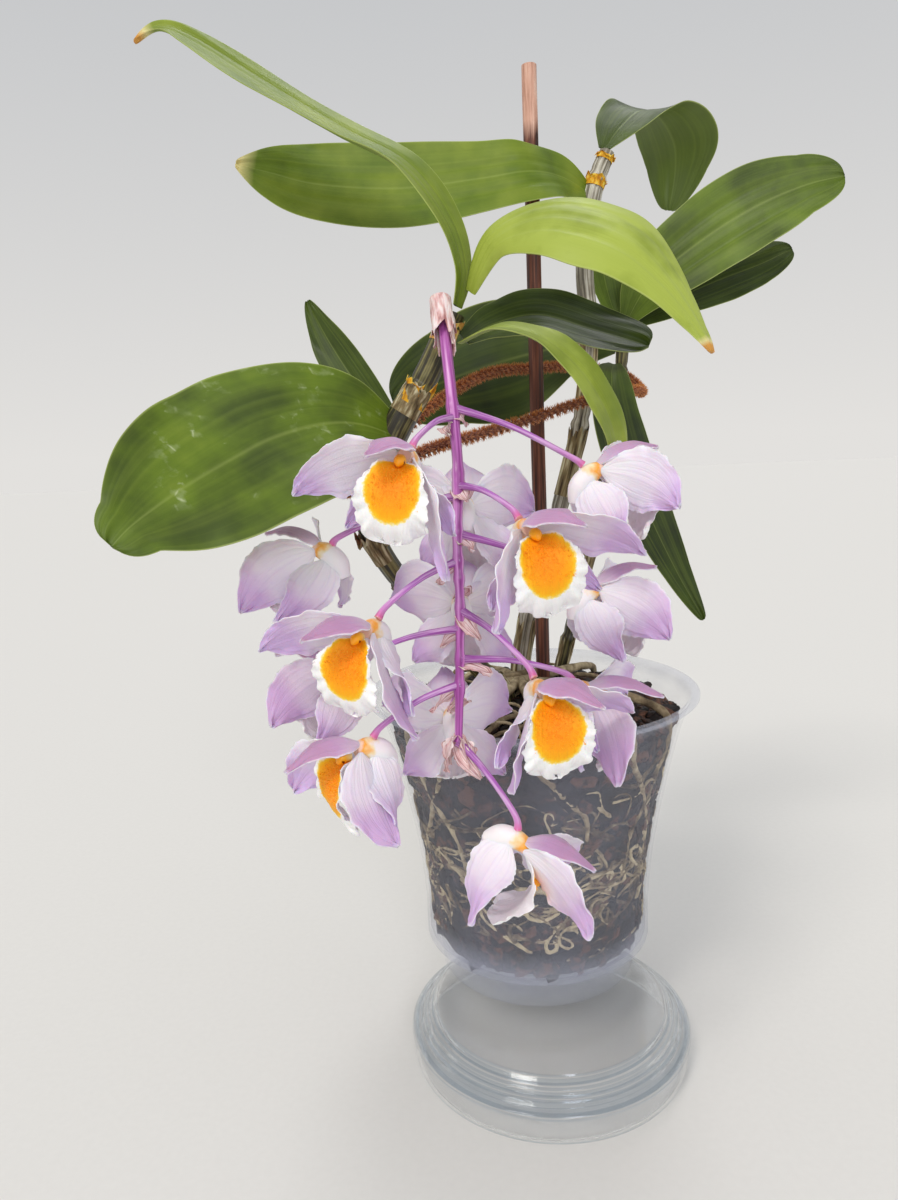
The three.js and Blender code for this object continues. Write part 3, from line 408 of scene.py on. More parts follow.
def along(values, t):
    """The value at each t (0 to 1) of a smooth run through numbers or points."""
    knots = np.atleast_1d(np.asarray(values, float))
    last = len(knots) - 1
    s = np.clip(np.asarray(t, float), 0, 1) * last
    i = np.minimum(s.astype(int), max(last - 1, 0))
    f = s - i
    if knots.ndim == 2:
        f = f[..., None]
    return between(*(knots[np.clip(i + k, 0, last)] for k in (-1, 0, 1, 2)), f)


def unit(vectors):
    """Vectors scaled to length 1."""
    return vectors / np.maximum(np.linalg.norm(vectors, axis=-1, keepdims=True), 1e-9)


def heading(path, t, step=0.01):
    """The direction of a path at each t."""
    return unit(along(path, np.minimum(t + step, 1)) - along(path, np.maximum(t - step, 0)))


def scatter(i, k):
    """A repeatable spread of numbers from -1 to 1."""
    return math.sin(12.9898 * i + 78.233 * k + 1.7)


def surface(shape, t, v, mirror=1):
    """Points of a blade's middle at (t, v), with its side, upper and forward directions and half width."""
    forward = heading(shape["path"], t, shape.get("ease", 0.01))
    side = unit(np.cross(forward, along(shape["face"], t)))
    up = np.cross(side, forward)
    half = shape["half"]
    width = np.maximum(along(half, t), 0.35)
    round_tip = shape.get("round", 0)
    if round_tip:
        last = len(half) - 1
        f = np.clip(t * last - (last - 1), 0, 1)
        full = half[-2] * np.sqrt(np.maximum(1 - f**2.6, 0))
        width = np.where(f > 0, (1 - round_tip) * width + round_tip * full, width)
    high, often = shape.get("wave", (0, 0))
    ripple = high * np.sin(TURN * often * t + 1.9 * v) * v * v * np.sin(math.pi * t)
    lift = width * along(shape.get("fold", 0), t) * v * v + ripple
    points = along(shape["path"], t) + side * (v * width)[..., None] + up * lift[..., None]
    flip = np.array([mirror, 1, 1])
    return points * flip, side * flip, up * flip, forward * flip, width


def sheet(steps, across):
    """The faces of a closed sheet: its upper side, its under side and then its rim."""
    row, count = across + 1, (steps + 1) * (across + 1)
    i, k = np.meshgrid(np.arange(steps), np.arange(across), indexing="ij")
    a = (i * row + k).ravel()
    upper = np.stack([a, a + 1, a + row + 1, a + row], 1)
    ring = [(0, k) for k in range(across)] + [(i, across) for i in range(steps)]
    ring += [(steps, k) for k in range(across, 0, -1)] + [(i, 0) for i in range(steps, 0, -1)]
    start = np.array([i * row + k for i, k in ring])
    end = np.roll(start, -1)
    rim = np.stack([end, start, start + count, end + count], 1)
    return np.concatenate([upper, upper[:, ::-1] + count, rim])


def blade(shape, mirror=1, *, steps, across, frill=(0, 0), teeth=0, crease=0, seed=0, thickness=BLADE,
          ruffle=0):
    """A thin closed blade: points, faces and (across, along) places. The under side's along is 2 more.

    frill is the height and number of its edge's waves, ruffle how much its outline follows them,
    teeth how ragged the edge is and crease how deep the midrib lies.
    """
    draw = np.random.default_rng(seed)
    t1 = np.linspace(0, 1, steps + 1)
    v1 = np.sin(np.linspace(-1, 1, across + 1) * math.pi / 2)
    t, v = np.meshgrid(t1, v1, indexing="ij")
    points, side, up, forward, width = surface(shape, t, v, mirror)
    ahead = 2 * t - 1
    reach = np.clip(np.hypot(v, ahead * (ahead > 0)), 0, 1)
    angle = np.arctan2(v, ahead)
    high, waves = frill
    if high:
        grow = reach**4 * np.clip(t * 4, 0, 1)
        points = points + up * (high * grow * np.sin(waves * angle + 2.4 * seed))[..., None]
        points = points + up * (0.4 * high * grow * np.sin(2.7 * waves * angle + seed))[..., None]
        notch = 0.7 * np.sin(2.3 * waves * angle + seed) + 0.5 * np.sin(5.1 * waves * angle + 3 * seed)
        points = points - side * (ruffle * high * grow * np.sign(v) * notch)[..., None]
    if teeth:
        rim = (np.abs(v) > 0.999) | (t > 0.999)
        out = side * (np.sign(v) * (np.abs(v) > 0.999))[..., None] + forward * (t > 0.999)[..., None]
        bite = teeth * draw.uniform(-1, 0.5, t.shape) * rim * np.clip(t * 5, 0, 1)
        points = points + out * bite[..., None]
    if crease:
        points = points - up * (crease * np.exp(-(v * width / 1.1) ** 2))[..., None]
    for line in shape.get("pleats", ()):
        sink = 0.6 * np.sin(math.pi * np.clip(1.1 * t, 0, 1)) * np.exp(-((v - line) / 0.09) ** 2)
        points = points - up * sink[..., None]
    thick = thickness * (1 - 0.62 * np.maximum(np.abs(v), t**8) ** 5)
    top = points + up * (thick / 2)[..., None]
    bottom = points - up * (thick / 2)[..., None]
    faces = sheet(steps, across)[:, ::mirror]
    place = np.stack([v.ravel(), t.ravel()], 1)
    place = np.concatenate([place, place + [0, 2]])
    places = place[faces]
    # the rim counts as part of the upper side
    rim = places[2 * steps * across:, :, 1]
    rim[rim > 1.5] -= 2
    return np.concatenate([top.reshape(-1, 3), bottom.reshape(-1, 3)]), faces, places


def rings(sides, steps):
    """Faces and places of joined rings, and of the fans that close both ends."""
    i, k = (grid.ravel() for grid in np.meshgrid(np.arange(steps), np.arange(sides), indexing="ij"))
    n = (k + 1) % sides
    faces = np.stack([i * sides + k, i * sides + n, (i + 1) * sides + n, (i + 1) * sides + k], 1)
    corners = ((0, 0), (1, 0), (1, 1), (0, 1))
    places = np.stack([np.stack([(k + a) / sides, (i + b) / steps], 1) for a, b in corners], 1)
    k, n, last = k[:sides], n[:sides], steps * sides
    first = np.stack([n, k, np.full(sides, last + sides)], 1)
    final = np.stack([last + k, last + n, np.full(sides, last + sides + 1)], 1)
    cap_places = np.zeros((2 * sides, 3, 2))
    cap_places[sides:, :, 1] = 1
    return faces, places, np.concatenate([first, final]), cap_places


def tube(shape, relief=None, *, sides, steps):
    """A round stem along a path, closed at its ends. relief(t, angle) is added to its radius."""
    t = np.linspace(0, 1, steps + 1)
    centre, forward = along(shape["path"], t), heading(shape["path"], t)
    side = np.zeros((steps + 1, 3))
    now = np.array([0.31, 0.17, 0.93])
    for i, f in enumerate(forward):
        now = now - f * now.dot(f)
        if np.linalg.norm(now) < 0.2:
            now = np.array([1.0, 0, 0]) - f * f[0]
        now = now / np.linalg.norm(now)
        side[i] = now
    up = np.cross(forward, side)
    angle = np.arange(sides) / sides * TURN
    r = np.repeat(along(shape["radius"], t)[:, None], sides, 1)
    if relief is not None:
        r = r + relief(t[:, None], angle[None, :])
    around = side[:, None] * np.cos(angle)[None, :, None] + up[:, None] * np.sin(angle)[None, :, None]
    points = (centre[:, None] + r[..., None] * around).reshape(-1, 3)
    ends = np.stack([centre[0] - forward[0] * 0.2, centre[-1] + forward[-1] * 0.2])
    return np.concatenate([points, ends]), *rings(sides, steps)


def spikes(roots, tips, radius):
    """Thin three-sided hairs from their roots to their tips."""
    roots, tips = np.asarray(roots), np.asarray(tips)
    way = unit(tips - roots)
    side = unit(np.cross(way, np.where(np.abs(way[:, 2:]) < 0.9, [[0, 0, 1.0]], [[1.0, 0, 0]])))
    up = np.cross(way, side)
    radius = np.broadcast_to(radius, len(roots))[:, None]
    corners = [roots + radius * (side * math.cos(a) + up * math.sin(a)) for a in (0, TURN / 3, 2 * TURN / 3)]
    points = np.stack([*corners, tips], 1).reshape(-1, 3)
    base = np.arange(len(roots))[:, None] * 4
    faces = np.concatenate([base + f for f in ([0, 1, 3], [1, 2, 3], [2, 0, 3], [0, 2, 1])])
    places = np.zeros((len(faces), 3, 2))
    places[:3 * len(roots), 2, 1] = 1
    return points, faces, places


def filleted(outline, size, steps=4):
    """An open outline with its corners rounded off."""
    outline = [np.array(p, float) for p in outline]
    made = [outline[0]]
    for before, corner, after in zip(outline, outline[1:], outline[2:]):
        a = corner + (before - corner) * min(size / np.linalg.norm(before - corner), 0.45)
        b = corner + (after - corner) * min(size / np.linalg.norm(after - corner), 0.45)
        for f in np.linspace(0, 1, steps):
            made.append((1 - f) ** 2 * a + 2 * f * (1 - f) * corner + f * f * b)
    return made + [outline[-1]]


def turned(outline, relief=None, *, sides):
    """A body turned about the Z axis from an outline that starts and ends on the axis."""
    inner = np.array(outline[1:-1])
    angle = np.arange(sides) / sides * TURN
    r = np.repeat(inner[:, :1], sides, 1)
    z = np.repeat(inner[:, 1:], sides, 1)
    if relief is not None:
        r, z = relief(r, z, angle[None, :])
    points = np.stack([r * np.cos(angle), r * np.sin(angle), z], 2).reshape(-1, 3)
    points = np.concatenate([points, [[0, 0, outline[0][1]], [0, 0, outline[-1][1]]]])
    faces, places, caps, cap_places = rings(sides, len(inner) - 1)
    return points, faces, 0 * places, caps, 0 * cap_places


class Skin:
    """One piece's mesh, gathered from its parts in mm about the pot's axis."""

    def __init__(self):
        self.points, self.faces, self.places, self.tones, self.finishes = [], [], [], [], []
        self.count = 0

    def add(self, part, tone=(0, 0), finish=0, place=None):
        """Adds a part: points, then pairs of faces and places. tone is one pair, or a pair for each face."""
        points, *rest = part
        if place is not None:
            points = points @ place[0].T + place[1]
        self.points.append(points)
        for faces, places in zip(rest[::2], rest[1::2]):
            self.faces.extend((faces + self.count).tolist())
            corners = places.reshape(-1, 2)
            self.places.append(corners)
            tones = np.broadcast_to(np.asarray(tone, float), (len(faces), 2)) if np.ndim(tone) == 1 else tone
            self.tones.append(np.repeat(tones, faces.shape[1], 0))
            self.finishes.append(np.full(len(faces), finish))
        self.count += len(points)

    def build(self, name, materials, nodes=(), sharp=50, smooth=True):
        """Makes the piece, which rides on the plant and stands for the given nodes."""
        mesh = bpy.data.meshes.new(name)
        points = np.concatenate(self.points) * MM + POT_AXIS
        mesh.from_pydata(points.tolist(), [], self.faces)
        for title, values in (("place", self.places), ("tone", self.tones)):
            layer = mesh.uv_layers.new(name=title)
            layer.data.foreach_set("uv", np.concatenate(values).ravel())
        mesh.polygons.foreach_set("material_index", np.concatenate(self.finishes))
        mesh.polygons.foreach_set("use_smooth", [smooth] * len(mesh.polygons))
        if smooth:
            mesh.set_sharp_from_angle(angle=math.radians(sharp))
        mesh.update()
        piece = bpy.data.objects.new(name, mesh)
        bpy.context.scene.collection.objects.link(piece)
        for material in materials:
            mesh.materials.append(material)
        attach(piece, BODY)
        if nodes:
            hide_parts(*nodes)


# ---------------------------------------------------------------- finishes

def source(value):
    """A node's first output in use, or the value itself."""
    if isinstance(value, bpy.types.Node):
        return next(output for output in value.outputs if output.enabled)
    return value


def add(tree, kind, links=(), **settings):
    """Adds a shader node with its settings, and sets or links its inputs: a list, or by name or number."""
    node = tree.nodes.new("ShaderNode" + kind)
    stops = settings.pop("stops", ())
    for name, value in settings.items():
        setattr(node, name, value)
    for _ in stops[2:]:
        node.color_ramp.elements.new(0.5)
    for stop, (place, colour) in enumerate(stops):
        node.color_ramp.elements[stop].position = place
        node.color_ramp.elements[stop].color = linear(colour) if isinstance(colour, str) else colour
    for name, value in links.items() if isinstance(links, dict) else enumerate(links):
        value = source(value)
        if isinstance(value, bpy.types.NodeSocket):
            tree.links.new(value, node.inputs[name])
        else:
            node.inputs[name].default_value = value
    return node


def finish(name, **shader):
    """A new material with one surface shader: the material, its tree and the shader."""
    made = bpy.data.materials.new(name)
    made.use_nodes = True
    tree = made.node_tree
    tree.nodes.clear()
    shade = add(tree, "BsdfPrincipled", {k.replace("_", " "): v for k, v in shader.items()})
    add(tree, "OutputMaterial", {"Surface": shade})
    return made, tree, shade


def dress(tree, shade, colour, *reliefs):
    """Gives a surface its colour, and reliefs that are pairs of a height and its depth in mm."""
    tree.links.new(source(colour), shade.inputs["Base Color"])
    below = {}
    for height, depth in reliefs:
        bump = add(tree, "Bump", {"Height": height, "Distance": depth * MM, "Strength": 1.0, **below})
        below = {"Normal": bump}
    if below:
        tree.links.new(source(bump), shade.inputs["Normal"])


def blade_places(tree):
    """Across (-1 to 1), along (0 to 1) and under (0 or 1) on a blade, and the first two together."""
    parts = add(tree, "SeparateXYZ", [add(tree, "UVMap", uv_map="place")])
    under = add(tree, "Math", [parts.outputs[1], 1.5], operation="GREATER_THAN")
    run = add(tree, "Math", [under, -2.0, parts.outputs[1]], operation="MULTIPLY_ADD")
    return parts.outputs[0], run, under, add(tree, "CombineXYZ", [parts.outputs[0], run])


def stem_places(tree):
    """The place round and along a stem, and the part of it along the stem (0 to 1)."""
    place = add(tree, "UVMap", uv_map="place")
    return place, add(tree, "SeparateXYZ", [place]).outputs[1]


def tones(tree):
    """The two numbers that a part carries all over, and places in metres."""
    pair = add(tree, "SeparateXYZ", [add(tree, "UVMap", uv_map="tone")]).outputs
    return pair[0], pair[1], add(tree, "TexCoord").outputs["Object"]


def grain(tree, place, across, lengthwise, detail):
    """Noise drawn out along a part, with so many strands across and lengths along its place."""
    drawn = add(tree, "Mapping", {0: place, 3: (across, lengthwise, 1)})
    return add(tree, "TexNoise", {"Vector": drawn, "Scale": 1.0, "Detail": detail}, noise_dimensions="2D")


def leaf_cuticle(chalk):
    """Waxy leaf skin, grown: soft gloss over green that yellows with age and is painted dark on shaded
    leaves, with fine parallel veins.
    """
    plant = bpy.context.scene.orchid_plant
    name = "leaf_cuticle_waxy_grown_chalked" if chalk else "leaf_cuticle_waxy_grown"
    made, tree, shade = finish(name, Roughness=0.52, IOR=1.38, Coat_Weight=0.07, Coat_Roughness=0.3)
    across, run, under, flat = blade_places(tree)
    age, tip, spot = tones(tree)
    cloud = add(tree, "TexNoise", {"Vector": spot, "Scale": 1 / (18 * MM), "Detail": 4.0})
    # painted shade: a low age darkens the green of the leaves that hang down or stand behind
    start = add(tree, "Math", [age, 0.1], operation="SUBTRACT")
    age_and_shade = add(tree, "Math", [cloud, 0.7, start], operation="MULTIPLY_ADD")
    green = add(tree, "ValToRGB", [age_and_shade], stops=[
        (0.15, plant.leaf_dark), (0.42, "#3d4f08"), (0.6, "#5b720d"), (0.85, "#82922a"),
        (1.0, plant.leaf_light)])
    # veins run the length of the blade, spaced in millimetres over a mean half width of 12 mm
    vein = grain(tree, flat, 12 / plant.vein, 0.7, 3.0)
    strand = add(tree, "MapRange", [vein, 0.4, 0.75, 0.0, 0.12])
    veined = add(tree, "Mix", {0: strand, 6: green, 7: linear("#93a63c")}, data_type="RGBA")
    # a pale thin margin, and a midrib that only just shows
    edge = add(tree, "Math", [across], operation="ABSOLUTE")
    margin = add(tree, "MapRange", [edge, 0.975, 1.0, 0.0, 0.6])
    midrib = add(tree, "MapRange", [edge, 0.008, 0.035, 0.12, 0.0])
    pale = add(tree, "Math", [margin, midrib], operation="MAXIMUM")
    lined = add(tree, "Mix", {0: pale, 6: veined, 7: linear("#b9c673")}, data_type="RGBA")
    bloom = add(tree, "Math", [under, 0.3], operation="MULTIPLY")
    backed = add(tree, "Mix", {0: bloom, 6: lined, 7: linear("#8ba24c")}, data_type="RGBA")
    # a tip that dies back pales to cream, then turns tan
    ragged = add(tree, "Math", [cloud, 0.06, run], operation="MULTIPLY_ADD")
    dying = add(tree, "MapRange", [ragged, 0.93, 1.0, 0.0, 1.0])
    browned = add(tree, "Math", [dying, tip], operation="MULTIPLY", use_clamp=True)
    dry = add(tree, "ValToRGB", [browned], stops=[(0.45, "#d9cf8e"), (0.9, plant.leaf_tip)])
    wither = add(tree, "MapRange", [browned, 0.0, 0.45, 0.0, 1.0])
    colour = add(tree, "Mix", {0: wither, 6: backed, 7: dry}, data_type="RGBA")
    if chalk:
        # dried watering drops leave lime rings and smears
        drops = add(tree, "TexVoronoi", {"Vector": spot, "Scale": 1 / (7 * MM)}, feature="DISTANCE_TO_EDGE")
        smear = add(tree, "TexNoise", {"Vector": spot, "Scale": 1 / (5 * MM), "Detail": 8.0})
        where = add(tree, "MapRange", [cloud, 0.5, 0.68, 0.0, 1.0])
        ring = add(tree, "MapRange", [drops, 0.0, 0.05, 1.0, 0.0])
        speck = add(tree, "MapRange", [smear, 0.56, 0.76, 0.0, 1.0])
        lime = add(tree, "Math", [speck, where], operation="MULTIPLY")
        ringed = add(tree, "Math", [ring, lime], operation="MULTIPLY")
        both = add(tree, "Math", [lime, 0.34, ringed], operation="MULTIPLY_ADD", use_clamp=True)
        colour = add(tree, "Mix", {0: both, 6: colour, 7: linear("#cfd8b0")}, data_type="RGBA")
    pores = add(tree, "TexNoise", {"Vector": spot, "Scale": 1 / (0.5 * MM), "Detail": 2.0})
    dress(tree, shade, colour, (pores, 0.01), (vein, 0.1))
    return made


def tepal_skin():
    """Petal skin, grown: satin with a faint sparkle, white at the heart and lilac towards the tip."""
    flower = bpy.context.scene.orchid_flower
    made, tree, shade = finish("tepal_skin_satin_grown", Roughness=0.5, IOR=1.4, Sheen_Weight=0.15,
                               Sheen_Roughness=0.4, Subsurface_Weight=0.2, Subsurface_Scale=0.002)
    across, run, under, flat = blade_places(tree)
    depth, _, spot = tones(tree)
    cloud = add(tree, "TexNoise", {"Vector": spot, "Scale": 1 / (7 * MM), "Detail": 3.0})
    mottled = add(tree, "Math", [cloud, 0.3, run], operation="MULTIPLY_ADD")
    deeper = add(tree, "Math", [depth, 0.4, mottled], operation="MULTIPLY_ADD")
    body = add(tree, "ValToRGB", [deeper], stops=[
        (0.35, flower.tepal_pale), (0.75, "#ede4f1"), (0.98, flower.tepal_deep)])
    vein = grain(tree, flat, 7, 0.8, 3.0)
    streak = add(tree, "MapRange", [vein, 0.48, 0.75, 0.0, 0.22])
    veined = add(tree, "Mix", {0: streak, 6: body, 7: flower.tepal_deep}, data_type="RGBA")
    # the keeled back of a sepal is mauve, most of all towards its tip
    blush = add(tree, "Math", [depth, add(tree, "MapRange", [run, 0.0, 0.6, 0.3, 0.95])],
                operation="MULTIPLY")
    behind = add(tree, "Math", [under, blush], operation="MULTIPLY")
    backed = add(tree, "Mix", {0: behind, 6: veined, 7: flower.tepal_back}, data_type="RGBA")
    edge = add(tree, "Math", [across], operation="ABSOLUTE")
    far = add(tree, "Math", [edge, run], operation="MAXIMUM")
    rim = add(tree, "MapRange", [far, 0.93, 1.0, 0.0, 0.75])
    edged = add(tree, "Mix", {0: rim, 6: backed, 7: linear("#f7f2f6")}, data_type="RGBA")
    cells = add(tree, "TexVoronoi", {"Vector": spot, "Scale": 1 / (0.45 * MM)})
    dress(tree, shade, edged, (cells, 0.03), (vein, 0.3))
    return made


def spur_skin():
    """The chin where sepals and stalk meet: petal skin with one yellow-orange flush, cream to its end."""
    made, tree, shade = finish("spur_skin_satin_grown", Roughness=0.5, IOR=1.4, Sheen_Weight=0.15,
                               Subsurface_Weight=0.15, Subsurface_Scale=0.002)
    _, run = stem_places(tree)
    spot = tones(tree)[2]
    cloud = add(tree, "TexNoise", {"Vector": spot, "Scale": 1 / (3 * MM), "Detail": 3.0})
    mixed = add(tree, "Math", [cloud, 0.5, run], operation="MULTIPLY_ADD")
    body = add(tree, "ValToRGB", [mixed], stops=[
        (0.3, "#f3c9b4"), (0.42, "#f6a52a"), (0.55, "#f5dcae"), (0.68, "#f5eff0")])
    dress(tree, shade, body, (cloud, 0.2))
    return made


def lip_velvet():
    """Lip skin, grown: short papillae that glow orange on the disc, inside a clean white frilled edge."""
    flower = bpy.context.scene.orchid_flower
    made, tree, shade = finish("lip_velvet_grown", Roughness=0.6, IOR=1.4, Subsurface_Weight=0.1,
                               Subsurface_Scale=0.002)
    across, run, under, flat = blade_places(tree)
    spot = tones(tree)[2]
    fray = add(tree, "TexNoise", {"Vector": spot, "Scale": 1 / (0.9 * MM), "Detail": 4.0})
    # the disc is a rounded shield: the sum is 1 on its outline
    share = add(tree, "MapRange", [run, 0.2, 0.6, 0.96, 0.7])
    terms = []
    for way, middle, half in ((across, 0.0, share), (run, 0.37, 0.37)):
        off = add(tree, "Math", [way, middle], operation="SUBTRACT")
        ratio = add(tree, "Math", [off, half], operation="DIVIDE")
        size = add(tree, "Math", [ratio], operation="ABSOLUTE")
        terms.append(add(tree, "Math", [size, 2.4], operation="POWER"))
    shield = add(tree, "Math", [terms[0], terms[1]], operation="ADD")
    frayed = add(tree, "Math", [fray, 0.4, shield], operation="MULTIPLY_ADD")
    inward = add(tree, "MapRange", [frayed, 0.1, 1.4, 0.0, 1.0])
    disc = add(tree, "ValToRGB", [inward], stops=[
        (0.0, "#ff8e00"), (0.3, flower.lip_disc), (0.62, "#ffb000"), (0.78, "#ffc81c"), (0.88, "#ffe897"),
        (0.95, flower.lip_white)])
    top = add(tree, "Mix", {0: under, 6: disc, 7: linear("#f3ebef")}, data_type="RGBA")
    vein = grain(tree, flat, 10, 1.2, 3.0)
    papillae = add(tree, "TexVoronoi", {"Vector": spot, "Scale": 1 / (0.5 * MM)})
    dress(tree, shade, top, (papillae, 0.05), (vein, 0.25))
    return made


def throat_hair():
    """Throat hairs, grown: yellow-orange papillae, lighter at their ends."""
    made, tree, shade = finish("throat_hair_grown", Roughness=0.55)
    _, run = stem_places(tree)
    dress(tree, shade, add(tree, "ValToRGB", [run], stops=[(0.0, "#fb9a00"), (1.0, "#ffd23c")]))
    return made


def column_skin():
    """The column, grown: smooth yellow-orange, with one dark red spot on its flank."""
    made, tree, shade = finish("column_skin_grown", Roughness=0.4, IOR=1.42, Coat_Weight=0.2)
    place, run = stem_places(tree)
    spot = tones(tree)[2]
    cloud = add(tree, "TexNoise", {"Vector": spot, "Scale": 1 / (1.2 * MM), "Detail": 3.0})
    mixed = add(tree, "Math", [cloud, 0.12, run], operation="MULTIPLY_ADD")
    body = add(tree, "ValToRGB", [mixed], stops=[(0.1, "#fbe3a0"), (0.45, "#ffb81e"), (0.97, "#ffa60e")])
    away = add(tree, "VectorMath", [place, (0.02, 0.62, 0.0)], operation="DISTANCE")
    dark = add(tree, "MapRange", [away.outputs["Value"], 0.07, 0.12, 1.0, 0.0])
    spotted = add(tree, "Mix", {0: dark, 6: body, 7: linear("#7a1a08")}, data_type="RGBA")
    dress(tree, shade, spotted, (cloud, 0.1))
    return made


def stalk_skin():
    """Flower stalk skin, grown: smooth and waxy, purple in darker and paler lengthwise streaks."""
    flower = bpy.context.scene.orchid_flower
    made, tree, shade = finish("stalk_skin_waxy_grown", Roughness=0.38, IOR=1.42, Coat_Weight=0.3,
                               Coat_Roughness=0.25)
    place, run = stem_places(tree)
    pedicel = tones(tree)[0]
    streaks = grain(tree, place, 9, 3, 4.0)
    # the main stalk is purple; a pedicel runs from purple to pink at the flower
    main = add(tree, "ValToRGB", [streaks], stops=[
        (0.3, "#86327f"), (0.5, flower.stalk), (0.68, "#d596cf")])
    slim = add(tree, "ValToRGB", [run], stops=[
        (0.0, "#8a3d8f"), (0.45, "#b56ac0"), (0.75, "#cf86c4"), (0.93, "#d9669f"), (1.0, "#dd9490")])
    share = add(tree, "MapRange", [streaks, 0.45, 0.65, 0.0, 0.6])
    soft = add(tree, "Mix", {0: share, 6: slim, 7: linear("#e2bce2")}, data_type="RGBA")
    dress(tree, shade, add(tree, "Mix", {0: pedicel, 6: main, 7: soft}, data_type="RGBA"), (streaks, 0.15))
    return made


def bract_paper():
    """Bracts and torn sheaths, dried on the plant: thin crinkled paper, pinkish, tan or gold."""
    made, tree, shade = finish("bract_paper_dried", Roughness=0.7, IOR=1.4, Subsurface_Weight=0.1,
                               Subsurface_Scale=0.001)
    flat = blade_places(tree)[3]
    tan_share, gold_share, spot = tones(tree)
    vein = grain(tree, flat, 6, 1.5, 5.0)
    pink, tan, gold = (add(tree, "ValToRGB", [vein], stops=stops) for stops in (
        [(0.3, "#a06a68"), (0.45, "#dfb4b2"), (0.62, "#f6e3e2")],
        [(0.3, "#3d301d"), (0.5, "#84724e"), (0.7, "#cdc3a0")],
        [(0.3, "#9c5d08"), (0.5, "#e0a216"), (0.7, "#f2d25a")]))
    first = add(tree, "Mix", {0: tan_share, 6: pink, 7: tan}, data_type="RGBA")
    colour = add(tree, "Mix", {0: gold_share, 6: first, 7: gold}, data_type="RGBA")
    crinkle = add(tree, "TexNoise", {"Vector": spot, "Scale": 1 / (1.5 * MM), "Detail": 4.0})
    dress(tree, shade, colour, (crinkle, 0.25), (vein, 0.3))
    return made


def cane_skin(name, rough, depth, stops):
    """Cane skin under shrunken sheath: lengthwise ribs, dark in the furrows and pale on the ridges."""
    made, tree, shade = finish(name, Roughness=rough, IOR=1.45, Coat_Weight=0.15, Coat_Roughness=0.3)
    place, _ = stem_places(tree)
    fibre = grain(tree, place, 22, 7, 5.0)
    blotch = add(tree, "TexNoise", {"Vector": tones(tree)[2], "Scale": 1 / (9 * MM), "Detail": 3.0})
    both = add(tree, "Math", [blotch, 0.5, fibre], operation="MULTIPLY_ADD")
    dress(tree, shade, add(tree, "ValToRGB", [both], stops=stops), (fibre, depth))
    return made


def dowel_stain():
    """Softwood dowel, turned and dipped in brown stain, with its bare end left pinkish tan."""
    made, tree, shade = finish("pine_dowel_turned_stained", Roughness=0.5, IOR=1.45)
    place, run = stem_places(tree)
    fibre = grain(tree, place, 16, 12, 5.0)
    stained, bare = (add(tree, "ValToRGB", [fibre], stops=stops) for stops in (
        [(0.3, "#2c150c"), (0.55, "#5e3120"), (0.75, "#855036")],
        [(0.3, "#ab7a66"), (0.55, "#d3a48e"), (0.75, "#e3bfab")]))
    fringe = add(tree, "Math", [fibre, 0.03, run], operation="MULTIPLY_ADD")
    dip = add(tree, "MapRange", [fringe, 0.9, 0.925, 0.0, 1.0])
    dress(tree, shade, add(tree, "Mix", {0: dip, 6: stained, 7: bare}, data_type="RGBA"), (fibre, 0.2))
    return made


def chenille():
    """Chenille, cut rayon pile twisted into a wire: fuzzy rust-brown, paler at the pile's ends."""
    made, tree, shade = finish("chenille_rayon_twisted", Roughness=0.9, Sheen_Weight=0.4, Sheen_Roughness=0.5)
    _, run = stem_places(tree)
    mixed = add(tree, "Math", [tones(tree)[0], 0.4, run], operation="MULTIPLY_ADD")
    dress(tree, shade, add(tree, "ValToRGB", [mixed], stops=[
        (0.1, "#5f2c10"), (0.6, "#a0572a"), (1.0, "#cf8a4a")]))
    return made


def bark_chips():
    """Pine bark, chopped and kept damp: rough and near black, with red-brown broken faces; the core's extra
    darkness is painted shade.
    """
    made, tree, shade = finish("pine_bark_chopped_damp", Roughness=0.7, IOR=1.45)
    tone_and_shade, _, spot = tones(tree)
    rough = add(tree, "TexNoise", {"Vector": spot, "Scale": 1 / (2.5 * MM), "Detail": 7.0})
    mixed = add(tree, "Math", [tone_and_shade, 0.5, rough], operation="MULTIPLY_ADD")
    dress(tree, shade, add(tree, "ValToRGB", [mixed], stops=[
        (0.4, "#080607"), (0.8, "#241714"), (1.0, "#62402f")]), (rough, 0.8))
    return made


def root_velamen():
    """Orchid root, grown: a dry spongy coat, beige and wrinkled, brown where it is old."""
    made, tree, shade = finish("root_velamen_dry_grown", Roughness=0.85, IOR=1.4)
    fresh, _, spot = tones(tree)
    cloud = add(tree, "TexNoise", {"Vector": spot, "Scale": 1 / (4 * MM), "Detail": 5.0})
    mixed = add(tree, "Math", [fresh, 0.6, cloud], operation="MULTIPLY_ADD")
    body = add(tree, "ValToRGB", [mixed], stops=[(0.4, "#3d3024"), (0.65, "#86755a"), (0.95, "#cbbb98")])
    wrinkle = add(tree, "TexNoise", {"Vector": spot, "Scale": 1 / (0.8 * MM), "Detail": 3.0})
    dress(tree, shade, body, (wrinkle, 0.25))
    return made


